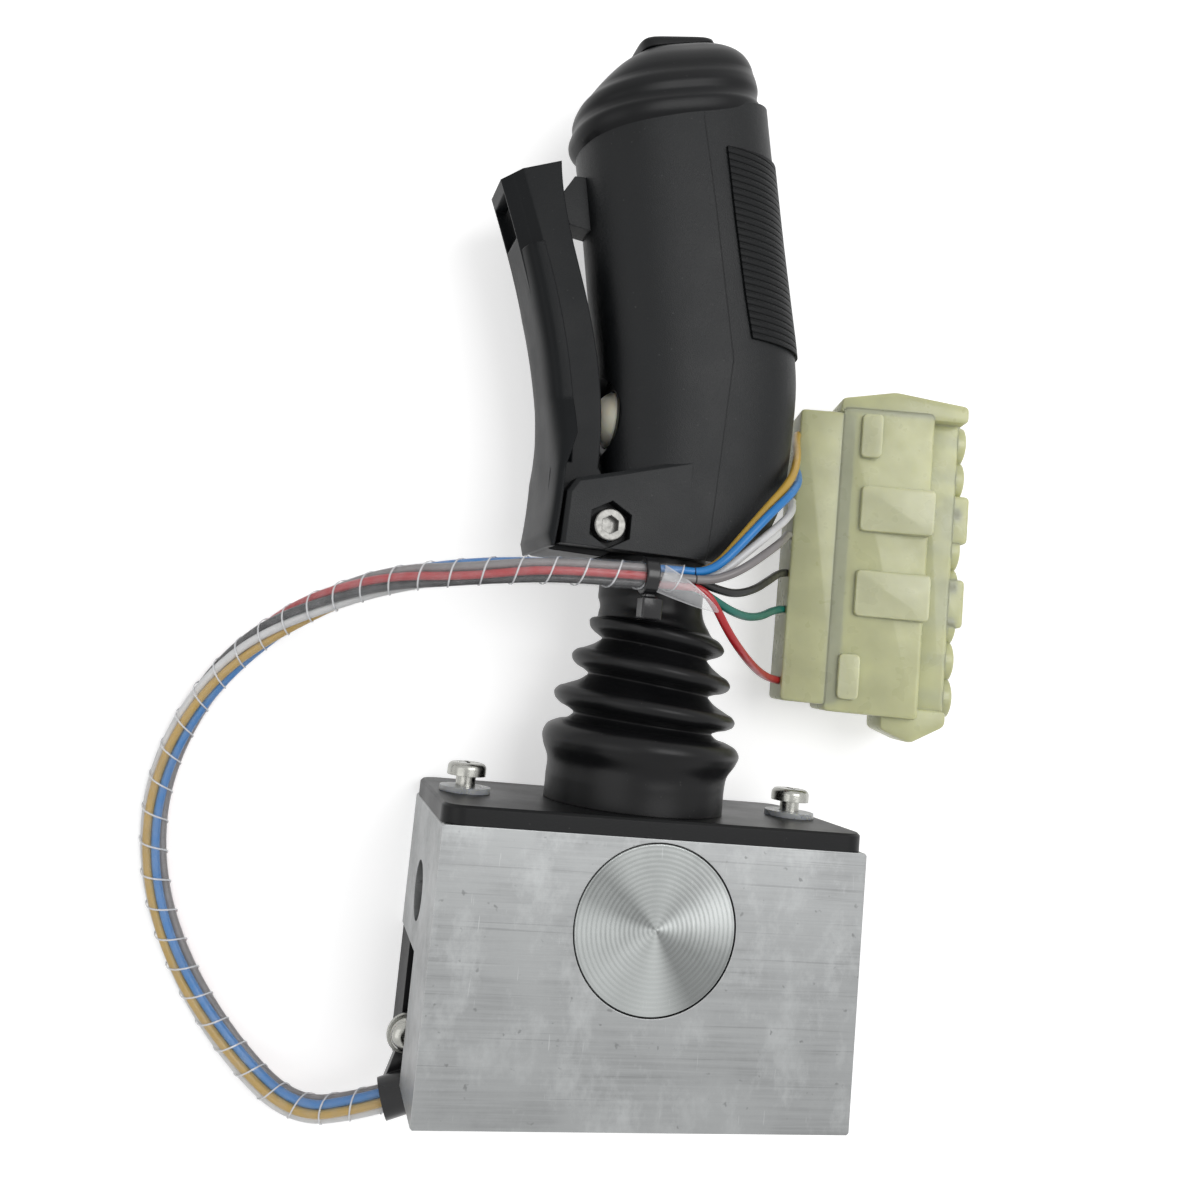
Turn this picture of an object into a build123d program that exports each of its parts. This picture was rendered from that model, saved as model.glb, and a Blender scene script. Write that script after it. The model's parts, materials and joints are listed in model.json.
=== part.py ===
"""Industrial single-axis joystick, lying on its back.

Millimetres. The origin is where the pivot axis meets the back face. +Z runs along the pivot axis to the
round front cap, +Y along the lever at rest and +X across the block.
"""
from build123d import *
from math import acos, atan2, cos, degrees, pi, radians, sin, sqrt, tan
import os

# Block: inch-sized aluminium stock
BLOCK_W = 101.6
BLOCK_H = 63.5
BLOCK_D = 50.8
PIVOT_BELOW_TOP = 20.0
TOP_Y = PIVOT_BELOW_TOP
BOTTOM_Y = TOP_Y - BLOCK_H
SIDE_X = BLOCK_W / 2
LEVER_Z = BLOCK_D / 2
BLOCK_EDGE = 0.5

# Walls round the cavity, which is open to the back
TOP_WALL = 5.5
FRONT_WALL = 14.8
BOTTOM_WALL = 12.5
SIDE_WALL = 18.8
CAVITY_X = SIDE_X - SIDE_WALL
CAVITY_TOP = TOP_Y - TOP_WALL
CAVITY_BOTTOM = BOTTOM_Y + BOTTOM_WALL
CAVITY_FRONT = BLOCK_D - FRONT_WALL

# Back cover, flush in a rebate
COVER_T = 6.0
COVER_LAP = 3.5
COVER_GAP = 0.15
COVER_EAR_T = 16.0
SENSOR_RECESS_R = 12.0
SENSOR_FLOOR = 2.4

# Cable recess at the lower left, open to the back, side and bottom
RECESS_W = 10.8
RECESS_TOP = -13.0
RECESS_D = 28.0

# Round port in the left side, in line with the hub screw
PORT_R = 7.1
PORT_Z = 23.4

# Pivot: shaft, bearings and front cap
SHAFT_R = 5.0
BEARING_R = 15.0
BEARING_W = 9.0
BEARING_INNER_R = 7.5
BEARING_SEAL_GAP = 0.08
CAP_R = 19.05
CAP_T = 4.0
CAP_GAP = 0.25
CAP_RECESS_T = CAP_T + 0.1
SEAT_GAP = 0.05
BOSS_WALL = 2.2
BOSS_GAP = 0.3
FRONT_BEARING_Z = BLOCK_D - CAP_RECESS_T - BEARING_W
REAR_BEARING_Z = COVER_T + 1.0
BOSS_END = REAR_BEARING_Z + BEARING_W
SHAFT_START = REAR_BEARING_Z + 0.6
SHAFT_END = FRONT_BEARING_Z + BEARING_W - 0.3
SHOULDER_LIP = 4.0

# Lever hub and rod
HUB_R = 11.5
HUB_BACK_GAP = 3.8
SPRING_ROOM = 5.0
HUB_START = BOSS_END + HUB_BACK_GAP
HUB_END = CAVITY_FRONT - SPRING_ROOM
HUB_BOSS_R = 5.6
HUB_BOSS_TOP = 19.0
HUB_TAIL = 16.5
HUB_TAIL_W = 9.0
ROD_R = 4.75
ROD_TENON_R = 4.0
ROD_START = 6.5
ROD_END = 106.0
ROD_FIT = 0.02
HUB_SCREW_R = 2.0
LEVER_SWING = 20.0
SLOT_CLEARANCE = 0.6

# Centring spring: its legs straddle a post on the block and a tongue on the hub
SPRING_R = 8.5
SPRING_WIRE_R = 0.55
SPRING_TURNS = 2
SPRING_PITCH = 1.25
SPRING_LEG_X = 3.2
SPRING_LEG_END = -21.8
SPRING_GAP = 0.3
POST_R = 2.7
POST_Y = -19.6
TONGUE_HALF_W = 4.1
TONGUE_Y = (-14.5, -11.0)

# Hall sensor and neutral switch
MAGNET_R = 3.0
MAGNET_T = 2.5
BOARD_R = 11.0
BOARD_T = 1.6
CHIP = 4.0
CHIP_T = 1.4
NEUTRAL_W = 20.0
NEUTRAL_H = 8.0
NEUTRAL_D = 6.4
NEUTRAL_TOP = -22.8
NEUTRAL_BUTTON_TOP = -HUB_TAIL - 0.5

# Top plate and the collar under the boot
PLATE_T = 4.3
PLATE_TOP = TOP_Y + PLATE_T
PLATE_CORNER = 5.0
COLLAR_R = 19.4
COLLAR_BORE_R = 16.5
COLLAR_H = 5.2

# Panel screws: number 10 pan heads, left standing proud
SCREW_X = 42.5
SCREW_R = 2.4
SCREW_DEPTH = 11.0
PAN_HEAD_R = 4.73
PAN_HEAD_H = 3.1
WASHER_R = 6.2
WASHER_T = 1.3
SCREW_GRIP = 2.6

# Cover screws
COVER_SCREW_X = 27.0
COVER_SCREW_Y = (8.0, -24.5)
COVER_SCREW_R = 1.5
COVER_HEAD_R = 3.0
COVER_BOSS_R = 4.2

# P-clip on the cover's ear
CLIP_TILT = -17.0
CLIP_W = 8.4
CLIP_STRAP = 1.3
CLIP_ALONG = 0.58
CLIP_SCREW_REACH = 13.4
CLIP_FIT = 0.25
CLIP_HEAD_R = 3.9
CLIP_HEAD_H = 2.6
CLIP_WASHER_R = 4.7
CLIP_WASHER_T = 0.9
CLIP_SCREW_R = 1.7

# Boot: profile radii from the foot to the neck
BOOT_WALL = 1.5
BOOT_FOOT_R = 22.3
BOOT_LIP_R = 24.7
BOOT_FOLDS = ((48.3, 22.9, 3.1), (57.6, 20.2, 2.9), (66.4, 17.3, 2.6))
BOOT_VALLEYS = (17.4, 15.2, 13.4)
BOOT_LIP_Y = 39.2
BOOT_NECK_R = 13.3
BOOT_TOP_Y = 79.5
NECK_R = 11.6
NECK_START = 71.5

# Grip: left and right outline at stations up the lever, with one half thickness
GRIP_HALF_T = 18.0
GRIP_POWER = 2.5
GRIP_SECTIONS = 14
GRIP_STATIONS = (
    (84.8, -18.2, 16.0),
    (90.0, -18.0, 24.0),
    (97.0, -17.6, 29.2),
    (106.0, -17.3, 32.0),
    (118.0, -17.9, 33.0),
    (136.0, -19.8, 33.2),
    (150.0, -22.8, 30.7),
    (170.0, -26.6, 26.4),
    (190.0, -30.5, 22.4),
    (220.0, -36.3, 16.6),
)
GRIP_WALL = 3.0
GRIP_BOTTOM = 85.4
PARTING = ((7.3, 80.0), (8.4, 101.7), (10.1, 136.0), (6.8, 151.9), (2.0, 174.9), (-3.1, 197.6), (-8.0, 222.0))
SEAM_MID = (-6.0, 198.8)
SEAM_TILT = 20.8
RIB_YS = (85.4, 102.0)
RIB_T = 3.2
CHEEK_OUTLINE = ((-28.9, GRIP_BOTTOM), (-28.5, 98.0), (-26.4, 101.4), (-16.0, 104.3), (2.0, 109.6),
                 (2.0, GRIP_BOTTOM))
PAD_OUTLINE = ((14.7, 142.3), (12.0, 152.5), (7.6, 172.0), (3.7, 190.5), (60.0, 196.0), (60.0, 142.3))
PAD_PROUD = 0.7
PAD_SEAT = 1.4
CATCH_OUTLINE = ((-24.0, 167.6), (-31.6, 168.4), (-34.3, 172.6), (-34.6, 176.0), (-31.6, 181.4),
                 (-24.0, 182.0))
CATCH_HALF_W = 4.0

# Trigger: ridge line from the foot to the tip
TRIGGER_RIDGE = ((-26.9, 92.0), (-27.0, 111.0), (-29.9, 129.0), (-36.2, 151.0), (-46.4, 177.5))
TRIGGER_OUT = 5.0
TRIGGER_HALF_W = 11.0
TRIGGER_FLAT_W = 6.5
TRIGGER_WALL = 2.2
TRIGGER_PIVOT = (-17.3, 91.1)
TRIGGER_SIDE_GAP = 0.5
BOLT_R = 2.4
BOLT_HEAD_R = 4.0
BOLT_HEAD_H = 3.8
BOLT_FIT = 0.07
HEX_FLATS = 10.0
NUT_FLATS = 9.5
HEX_DEPTH = 4.2

TRIGGER_TIP = ((-75.0, 96.0), (-75.0, 168.0), (-50.9, 178.2), (-46.2, 183.6), (-38.6, 186.3), (-37.2, 185.4))
TRIGGER_FOOT = ((-31.7, 84.2), (-16.8, 83.9), (-10.6, 89.0), (-10.6, 94.0), (-17.0, 100.5), (-20.0, 106.0),
                (-31.9, 106.0))
TRIGGER_INNER = ((-37.2, 185.4), (-33.9, 167.5), (-26.3, 145.5), (-21.6, 127.0), (-20.0, 104.8))
CHANNEL_START = 106.5
CHANNEL_ROOF = ((-75.0, 166.0), (-47.0, 178.0), (-43.4, 181.9), (-30.0, 186.5), (-10.0, 150.0))
WINDOW_Y = (161.5, 172.5)
WINDOW_HALF_W = 6.0
PUSHER_X0 = -32.0
POCKET_R = 5.0
POCKET_HALF_W = 3.6
TRIGGER_SPRING_R = 3.8
TRIGGER_SPRING_WIRE_R = 0.45
TRIGGER_SPRING_PITCH = 1.1
TRIGGER_SPRING_TURNS = 3.5
NUT_H = 3.9

# Enable switch behind the dome
DOME_Y = 120.3
DOME_R = 7.2
DOME_RISE = 4.1
DOME_TIP = -19.9
BEZEL_FACE = -15.5
BEZEL_R = 10.4
BEZEL_BORE_R = 7.5
SWITCH_BOSS_WALL = 2.2
SWITCH_FRONT = -8.0
SWITCH_BACK = 6.0
PUSHER_GAP = 0.2
DOME_TRAVEL = 2.1
SKIRT = 3.0
STEM_R = 3.0
STEM_END = -6.5
SWITCH_HALF_W = 8.0

# Cap and rocker, in the slanted frame of the grip's top
CAP_STATIONS = (
    (0.0, 0.2, 26.6, 18.2),
    (4.2, 0.9, 27.1, 18.7),
    (8.4, 2.2, 25.8, 17.9),
    (13.0, 4.3, 23.4, 16.6),
    (18.0, 6.9, 19.9, 14.9),
    (23.2, 9.0, 14.0, 12.8),
)
CAP_WALL = 1.8
ROCKER_T = 9.4
ROCKER_HALF_T = 10.2
ROCKER_HALF_Z = 9.4
ROCKER_GAP = 1.3
ROCKER_BASE_N = 21.0
ROCKER_TOP_N = 27.9
ROCKER_MID_N = 26.2
ROCKER_SLOPE = 9.3
ROCKER_PIVOT_N = 14.2
HANGER_HALF = 2.8
WELL_DEPTH = 3.6
WELL_WALL_T = 2.5
WELL_WALL_Z = 1.2
FLANGE_GAP = 0.6
FLANGE_T = 1.6
PIN_R = 1.25
SWITCH_HALF_T = 9.5
SWITCH_HALF_Z = 9.0
BODY_TOP_N = 17.0

# Harness: control points of its centre line, from inside the block to the wires' fan
BUNDLE_R = 3.3
BORE_GAP = 0.9
HARNESS_ROUTE = (
    (-14.0, -29.2, 21.9),
    (-38.0, -43.1, 21.9),
    (-58.0, -50.6, 20.3),
    (-73.5, -57.0, 8.8),
    (-90.0, -44.5, 3.8),
    (-104.5, -25.5, 3.6),
    (-114.2, -3.5, 3.6),
    (-115.8, 19.5, 3.6),
    (-107.5, 42.5, 5.0),
    (-91.5, 60.5, 13.5),
    (-70.0, 72.3, 28.5),
    (-47.0, 76.9, 40.5),
    (-24.0, 79.3, 45.0),
    (3.5, 80.2, 45.0),
)
TIE_BACK = 5.7
TIE_W = 4.4
TIE_T = 1.2
TIE_GAP = 0.15

# Connector: 8 ways, leaning on its lower edge and its rear tabs
WIRE_R = 1.05
CONN_AT = (46.0, 93.5, 0.4)
CONN_TILT = 16.0
CONN_L = 83.2
CONN_W = 36.3
CONN_T = 19.0
CONN_NOSE = 11.5
CONN_FLARE = 3.6
WAYS = 8
WAY_PITCH = 10.0
POCKET_D = 12.0
POCKET_V = 8.0
POCKET_W = 12.0
CONTACT_R = 1.5
PIN_REACH = 8.0
CONTACT_HOLE_R = 1.6
MOUTH_D = 3.5
REAR_RAMP = 4.2
SILO_R = 4.75
SILO_BORE_R = 3.1

# Wires: way in the connector, and the points of the route from the bundle to the contact
WIRES = {
    "wire_yellow": (0, ((3.9, 82.05, 43.93), (6.4, 82.4, 44.3), (10.2, 85.0, 45.2), (14.5, 91.0, 45.6),
                        (21.0, 99.5, 44.9), (29.0, 108.5, 41.6), (35.0, 117.0, 29.0), (35.8, 123.6, 18.0),
                        (37.0, 127.4, 10.6), (40.6, 128.5, 8.73))),
    "wire_blue": (1, ((3.9, 82.05, 46.07), (6.4, 82.35, 46.5), (10.0, 84.9, 47.6), (14.3, 90.0, 47.9),
                      (21.0, 98.0, 47.4), (29.5, 105.5, 43.6), (35.2, 110.0, 30.5), (36.0, 115.0, 18.5),
                      (37.2, 118.0, 10.7), (40.6, 118.5, 8.73))),
    "wire_white": (2, ((3.9, 80.2, 45.0), (6.8, 80.5, 45.0), (10.8, 82.6, 45.1), (15.3, 86.8, 45.0),
                       (21.5, 92.7, 44.6), (28.5, 97.8, 41.6), (34.0, 101.5, 31.0), (35.8, 105.5, 18.5),
                       (37.1, 108.1, 10.7), (40.6, 108.5, 8.73))),
    "wire_grey": (3, ((3.9, 80.2, 47.14), (6.8, 80.2, 47.5), (11.3, 81.8, 48.2), (16.0, 84.5, 47.6),
                      (22.0, 88.8, 45.2), (28.0, 92.8, 40.2), (32.5, 95.5, 29.5), (35.5, 97.5, 18.0),
                      (37.0, 98.4, 10.6), (40.6, 98.5, 8.73))),
    "wire_black": (4, ((3.9, 80.2, 42.86), (6.8, 80.0, 42.8), (11.5, 78.5, 42.0), (17.0, 77.6, 40.0),
                       (23.5, 79.8, 36.0), (30.5, 84.2, 28.0), (35.0, 87.3, 18.0), (37.0, 88.4, 10.6),
                       (40.6, 88.5, 8.73))),
    "wire_green": (5, ((3.9, 78.35, 43.93), (6.4, 77.9, 43.9), (10.5, 76.0, 43.2), (16.0, 74.0, 40.8),
                       (22.0, 73.3, 36.6), (28.5, 74.6, 29.0), (34.5, 77.2, 18.5), (37.0, 78.4, 10.6),
                       (40.6, 78.5, 8.73))),
    "wire_red": (7, ((3.9, 78.35, 46.07), (6.4, 77.9, 46.2), (9.5, 74.5, 46.4), (14.0, 68.5, 44.3),
                     (20.0, 63.6, 39.5), (27.5, 60.4, 31.0), (34.0, 58.9, 19.5), (36.9, 58.5, 10.8),
                     (40.6, 58.5, 8.73))),
}
WIRE_ENTRY = 6.0

MIN = Align.MIN
MID = Align.CENTER
MAX = Align.MAX


def bar(x0, x1, y0, y1, z0, z1):
    """Box between two corners."""
    return Pos(x0, y0, z0) * Box(x1 - x0, y1 - y0, z1 - z0, align=(MIN, MIN, MIN))


def rod_z(x, y, r, z0, z1):
    """Cylinder along Z."""
    return Pos(x, y, z0) * Cylinder(r, z1 - z0, align=(MID, MID, MIN))


def rod_x(y, z, r, x0, x1):
    """Cylinder along X."""
    return Pos(x0, y, z) * Rot(0, 90, 0) * Cylinder(r, x1 - x0, align=(MID, MID, MIN))


def rod_y(x, z, r, y0, y1):
    """Cylinder along Y."""
    return Pos(x, y0, z) * Rot(-90, 0, 0) * Cylinder(r, y1 - y0, align=(MID, MID, MIN))


def hexagon_z(x, y, flats, z0, z1):
    """Hexagonal prism along Z, corners up and down."""
    outline = Pos(x, y, z0) * RegularPolygon(flats / sqrt(3), 6, rotation=30)
    return extrude(outline, z1 - z0)


def pan_head(r, h):
    """Pan head with a rounded rim, its seat at Z = 0."""
    head = Cylinder(r, h, align=(MID, MID, MIN))
    return fillet(head.edges().sort_by(Axis.Z)[-1], h * 0.45)


def cross_recess(r, depth, top):
    """Cross-shaped driver recess, cut down from Z = top."""
    arm = Pos(0, 0, top) * Box(2 * r, r * 0.35, 2 * depth)
    return arm + Rot(0, 0, 90) * arm


def tube(points, r):
    """Round cord: straight runs joined by tangent arcs as large as the runs allow."""
    nodes = [Vector(*p) for p in points]
    radii = []
    for before, here, after in zip(nodes, nodes[1:], nodes[2:]):
        turn = radians((here - before).get_angle(after - here))
        shorter = min((here - before).length, (after - here).length)
        radii.append(0.45 * shorter / tan(turn / 2))
    path = FilletPolyline(*nodes, radius=radii)
    start = Plane(origin=nodes[0], z_dir=(nodes[1] - nodes[0]).normalized())
    solid = sweep(start * Circle(r), path=path)
    print(f"  cord length {path.length:.1f}, tightest bend {min(radii):.1f}, "
          f"volume ratio {solid.volume / (path.length * pi * r * r):.4f}")
    return solid


# Block and what is fixed to it

def cover_outline(gap):
    """Plan of the back cover: the cavity's lap and the ear in the cable recess."""
    lap = COVER_LAP - gap
    main = bar(-CAVITY_X - lap, CAVITY_X + lap, CAVITY_BOTTOM - lap, CAVITY_TOP + lap, 0, COVER_T)
    neck_top = RECESS_TOP - gap
    neck = bar(-SIDE_X + RECESS_W - 1, -CAVITY_X, CAVITY_BOTTOM - lap, neck_top, 0, COVER_T)
    return main + neck


def cover_screw_places():
    """X and Y of the four cover screws."""
    return [(sx * COVER_SCREW_X, y) for sx in (-1, 1) for y in COVER_SCREW_Y]


def lever_slot(r, depth_y, half_z):
    """Slot through a wall for a round lever of radius r that swings about the origin."""
    half_x = depth_y * sin(radians(LEVER_SWING)) / cos(radians(LEVER_SWING)) + r / cos(radians(LEVER_SWING))
    half_x += SLOT_CLEARANCE
    return bar(-half_x, half_x, CAVITY_TOP - 1, depth_y + 1, LEVER_Z - half_z, LEVER_Z + half_z)


def housing_block():
    """Aluminium block with cavity, bearing seat, port, cable recess and screw holes."""
    block = bar(-SIDE_X, SIDE_X, BOTTOM_Y, TOP_Y, 0, BLOCK_D)
    block = chamfer(block.edges().filter_by(Axis.Z), BLOCK_EDGE)
    cavity = bar(-CAVITY_X, CAVITY_X, CAVITY_BOTTOM, CAVITY_TOP, -1, CAVITY_FRONT)
    block -= fillet(cavity.edges().filter_by(Axis.Z), 4)
    block -= cover_outline(0)
    block -= rod_z(0, 0, BEARING_R + BOSS_WALL + BOSS_GAP, COVER_T - 1, BOSS_END + BOSS_GAP)
    for x, y in cover_screw_places():
        block += rod_z(x, y, COVER_BOSS_R, COVER_T, CAVITY_FRONT)
        block -= rod_z(x, y, COVER_SCREW_R, COVER_T - 1, COVER_T + 14)
    pad_half = NEUTRAL_W / 2 + 1.5
    block += bar(-pad_half, pad_half, CAVITY_BOTTOM, NEUTRAL_TOP + 0.2, LEVER_Z + NEUTRAL_D / 2, CAVITY_FRONT)
    for x in (-6.0, 6.0):
        block -= rod_z(x, NEUTRAL_TOP - NEUTRAL_H / 2, 1.1, LEVER_Z + NEUTRAL_D / 2 - 1, CAVITY_FRONT + 2)
    block -= rod_z(0, 0, CAP_R + CAP_GAP, BLOCK_D - CAP_RECESS_T, BLOCK_D + 1)
    block -= rod_z(0, 0, BEARING_R + SEAT_GAP, FRONT_BEARING_Z, BLOCK_D)
    block -= rod_z(0, 0, BEARING_R - SHOULDER_LIP, CAVITY_FRONT - 1, BLOCK_D)
    block -= rod_z(0, POST_Y, POST_R, CAVITY_FRONT - 1, CAVITY_FRONT + 5)
    block -= lever_slot(HUB_BOSS_R, TOP_Y, HUB_BOSS_R + 0.6)
    block -= rod_x(0, PORT_Z, PORT_R, -SIDE_X - 1, -CAVITY_X + 1)
    block -= bar(-SIDE_X - 1, -SIDE_X + RECESS_W, BOTTOM_Y - 1, RECESS_TOP, -1, RECESS_D)
    start, corner = Vector(*HARNESS_ROUTE[0]), Vector(*HARNESS_ROUTE[1])
    along = (corner - start).normalized()
    bore = Plane(origin=start - along * 2, z_dir=along)
    block -= bore * Cylinder(BUNDLE_R + BORE_GAP, (corner - start).length * 2, align=(MID, MID, MIN))
    for sx in (-1, 1):
        block -= rod_y(sx * SCREW_X, LEVER_Z, SCREW_R, TOP_Y - SCREW_DEPTH, TOP_Y + 1)
    return block


def top_plate():
    """Black plate on the block, with the collar for the boot."""
    plate = bar(-SIDE_X, SIDE_X, TOP_Y, PLATE_TOP, 0, BLOCK_D)
    plate = fillet(plate.edges().filter_by(Axis.Y), PLATE_CORNER)
    plate = chamfer(plate.faces().sort_by(Axis.Y)[-1].edges(), 0.6)
    plate += rod_y(0, LEVER_Z, COLLAR_R, TOP_Y, PLATE_TOP + COLLAR_H)
    plate -= rod_y(0, LEVER_Z, COLLAR_BORE_R, TOP_Y - 1, PLATE_TOP + COLLAR_H + 1)
    for sx in (-1, 1):
        plate -= rod_y(sx * SCREW_X, LEVER_Z, SCREW_R + 0.3, TOP_Y - 1, PLATE_TOP + 1)
    return plate


def back_cover():
    """Black cast cover: bearing boss, sensor recess and the ear in the cable recess."""
    cover = cover_outline(COVER_GAP)
    ear_x0 = -SIDE_X + 0.4
    ear_x1 = -SIDE_X + RECESS_W - COVER_GAP
    cover += bar(ear_x0, ear_x1, BOTTOM_Y + 0.4, RECESS_TOP - COVER_GAP, 0, COVER_EAR_T)
    cover += rod_z(0, 0, BEARING_R + BOSS_WALL, COVER_T - 1, BOSS_END)
    cover -= rod_z(0, 0, BEARING_R + SEAT_GAP, REAR_BEARING_Z, BOSS_END + 1)
    cover -= rod_z(0, 0, SENSOR_RECESS_R, SENSOR_FLOOR, REAR_BEARING_Z + 1)
    for x, y in cover_screw_places():
        cover -= rod_z(x, y, COVER_SCREW_R + 0.2, -1, COVER_T + 1)
        cover -= Pos(x, y, 0.2) * Cone(COVER_HEAD_R + 0.1, COVER_SCREW_R, 1.6, align=(MID, MID, MIN))
        cover -= rod_z(x, y, COVER_HEAD_R + 0.1, -1, 0.2)
    sx, sy, _ = clip_point(0, CLIP_SCREW_REACH, 0)
    cover -= rod_z(sx, sy, CLIP_SCREW_R, COVER_EAR_T - 9, COVER_EAR_T + 1)
    for x, y in board_screw_places():
        cover -= rod_z(x, y, 0.8, 0.8, SENSOR_FLOOR + 1)
    return cover


def cover_screws():
    """Four countersunk screws, sunk just below the back face."""
    group = []
    for x, y in cover_screw_places():
        screw = Pos(x, y, 0.3) * Cone(COVER_HEAD_R, COVER_SCREW_R, 1.5, align=(MID, MID, MIN))
        screw += rod_z(x, y, COVER_SCREW_R, 1.7, COVER_T + 12)
        screw -= hexagon_z(x, y, 2.0, -1, 1.2)
        group.append(screw)
    return group


def pivot_cap():
    """Turned aluminium disc, flush with the front face."""
    cap = rod_z(0, 0, CAP_R, BLOCK_D - CAP_T, BLOCK_D)
    cap = chamfer(cap.edges().sort_by(Axis.Z)[-1], 0.25)
    return cap - rod_z(0, 0, BEARING_INNER_R + 1.5, BLOCK_D - CAP_T - 1, BLOCK_D - CAP_T + 0.8)


def bearing_outer(z0):
    """Outer ring of a shielded bearing, its shields closing in on the inner ring."""
    ring = rod_z(0, 0, BEARING_R, z0, z0 + BEARING_W)
    ring = chamfer(ring.edges().filter_by(GeomType.CIRCLE), 0.4)
    return ring - rod_z(0, 0, BEARING_INNER_R + BEARING_SEAL_GAP, z0 - 1, z0 + BEARING_W + 1)


def bearing_inner_rings():
    """Inner rings of both bearings, pressed on the shaft."""
    return [rod_z(0, 0, BEARING_INNER_R, z0, z0 + BEARING_W)
            - rod_z(0, 0, SHAFT_R, z0 - 1, z0 + BEARING_W + 1)
            for z0 in (REAR_BEARING_Z, FRONT_BEARING_Z)]


def spring_post():
    """Pin pressed into the front wall, between the legs of the spring."""
    return rod_z(0, POST_Y, POST_R, HUB_END + 0.1, CAVITY_FRONT + 5)


def centring_spring():
    """Torsion spring: a left-handed coil whose two legs leave it at a tangent and close on the post."""
    reach = sqrt(SPRING_LEG_X ** 2 + SPRING_LEG_END ** 2)
    fan = degrees(acos(SPRING_R / reach))
    left = degrees(atan2(SPRING_LEG_END, -SPRING_LEG_X)) % 360 - fan
    right = degrees(atan2(SPRING_LEG_END, SPRING_LEG_X)) + fan
    height = SPRING_PITCH * (SPRING_TURNS + (left - right) / 360)
    z0 = HUB_END + SPRING_WIRE_R + SPRING_GAP
    coil = Pos(0, 0, z0) * Rot(0, 0, left) * Helix(SPRING_PITCH, height, SPRING_R, lefthand=True)
    first = Line((-SPRING_LEG_X, SPRING_LEG_END, z0), coil @ 0)
    last = Line(coil @ 1, (SPRING_LEG_X, SPRING_LEG_END, z0 + height))
    spring = wire_along(coil)
    spring += wire_along(first)
    spring += wire_along(last)
    return spring + Pos(*(coil @ 0)) * Sphere(SPRING_WIRE_R) + Pos(*(coil @ 1)) * Sphere(SPRING_WIRE_R)


def wire_along(path, r=SPRING_WIRE_R):
    """Round wire along one curve."""
    return sweep(Plane(origin=path @ 0, z_dir=path % 0) * Circle(r), path=path, is_frenet=True)


def sensor_board():
    """Round circuit board with the Hall chip facing the magnet."""
    board = rod_z(0, 0, BOARD_R, SENSOR_FLOOR, SENSOR_FLOOR + BOARD_T)
    for x, y in board_screw_places():
        board -= rod_z(x, y, 1.1, SENSOR_FLOOR - 1, SENSOR_FLOOR + BOARD_T + 1)
    chip_z = SENSOR_FLOOR + BOARD_T
    board += bar(-CHIP / 2, CHIP / 2, -CHIP / 2, CHIP / 2, chip_z - 0.1, chip_z + CHIP_T)
    return board


def board_screw_places():
    """X and Y of the two board screws."""
    return [(sx * (BOARD_R - 2.5), 0) for sx in (-1, 1)]


def board_screws():
    """Two small pan-head screws."""
    z = SENSOR_FLOOR + BOARD_T
    return [Pos(x, y, z) * (Cylinder(1.8, 1.2, align=(MID, MID, MIN)))
            + rod_z(x, y, 0.8, 1.0, z) for x, y in board_screw_places()]


def neutral_switch():
    """Small snap-action switch whose button faces the hub's tail."""
    body = bar(-NEUTRAL_W / 2, NEUTRAL_W / 2, NEUTRAL_TOP - NEUTRAL_H, NEUTRAL_TOP,
               LEVER_Z - NEUTRAL_D / 2, LEVER_Z + NEUTRAL_D / 2)
    body = fillet(body.edges().filter_by(Axis.Z), 0.8)
    body += rod_y(0, LEVER_Z, 1.5, NEUTRAL_TOP - 1, NEUTRAL_BUTTON_TOP)
    for x in (-6.0, 6.0):
        body -= rod_z(x, NEUTRAL_TOP - NEUTRAL_H / 2, 1.15, 0, BLOCK_D)
    return body


def switch_screws():
    """Two screws that hold the neutral switch on its pad."""
    y = NEUTRAL_TOP - NEUTRAL_H / 2
    z = LEVER_Z - NEUTRAL_D / 2
    return [Pos(x, y, z) * Rot(180, 0, 0) * Cylinder(2.0, 1.3, align=(MID, MID, MIN))
            + rod_z(x, y, 1.1, z, CAVITY_FRONT + 1) for x in (-6.0, 6.0)]


def panel_screws():
    """Two pan-head screws that stand proud by the panel's thickness."""
    seat = PLATE_TOP + WASHER_T + SCREW_GRIP
    group = []
    for sx in (-1, 1):
        head = pan_head(PAN_HEAD_R, PAN_HEAD_H) - cross_recess(2.6, 1.5, PAN_HEAD_H)
        screw = Pos(sx * SCREW_X, seat, LEVER_Z) * Rot(-90, 0, 0) * head
        screw += rod_y(sx * SCREW_X, LEVER_Z, SCREW_R, TOP_Y - SCREW_DEPTH, seat)
        group.append(screw)
    return group


def panel_washers():
    """Flat washers under the panel screws, resting on the plate."""
    return [rod_y(sx * SCREW_X, LEVER_Z, WASHER_R, PLATE_TOP, PLATE_TOP + WASHER_T)
            - rod_y(sx * SCREW_X, LEVER_Z, SCREW_R + 0.1, PLATE_TOP - 1, PLATE_TOP + WASHER_T + 1)
            for sx in (-1, 1)]


# Cable clip

def clip_ring():
    """Middle of the clip's ring and the cable's direction there."""
    corner, after = Vector(*HARNESS_ROUTE[1]), Vector(*HARNESS_ROUTE[2])
    return corner + (after - corner) * CLIP_ALONG, (after - corner).normalized()


def clip_frame():
    """Frame of the P-clip's tail: y towards the screw, z up, origin in the ring."""
    t = radians(CLIP_TILT)
    return Plane(origin=clip_ring()[0], x_dir=(cos(t), sin(t), 0), z_dir=(0, 0, 1))


def clip_point(x, y, z):
    """A point of the clip's frame in the part's frame."""
    p = clip_frame().from_local_coords(Vector(x, y, z))
    return p.X, p.Y, p.Z


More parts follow.
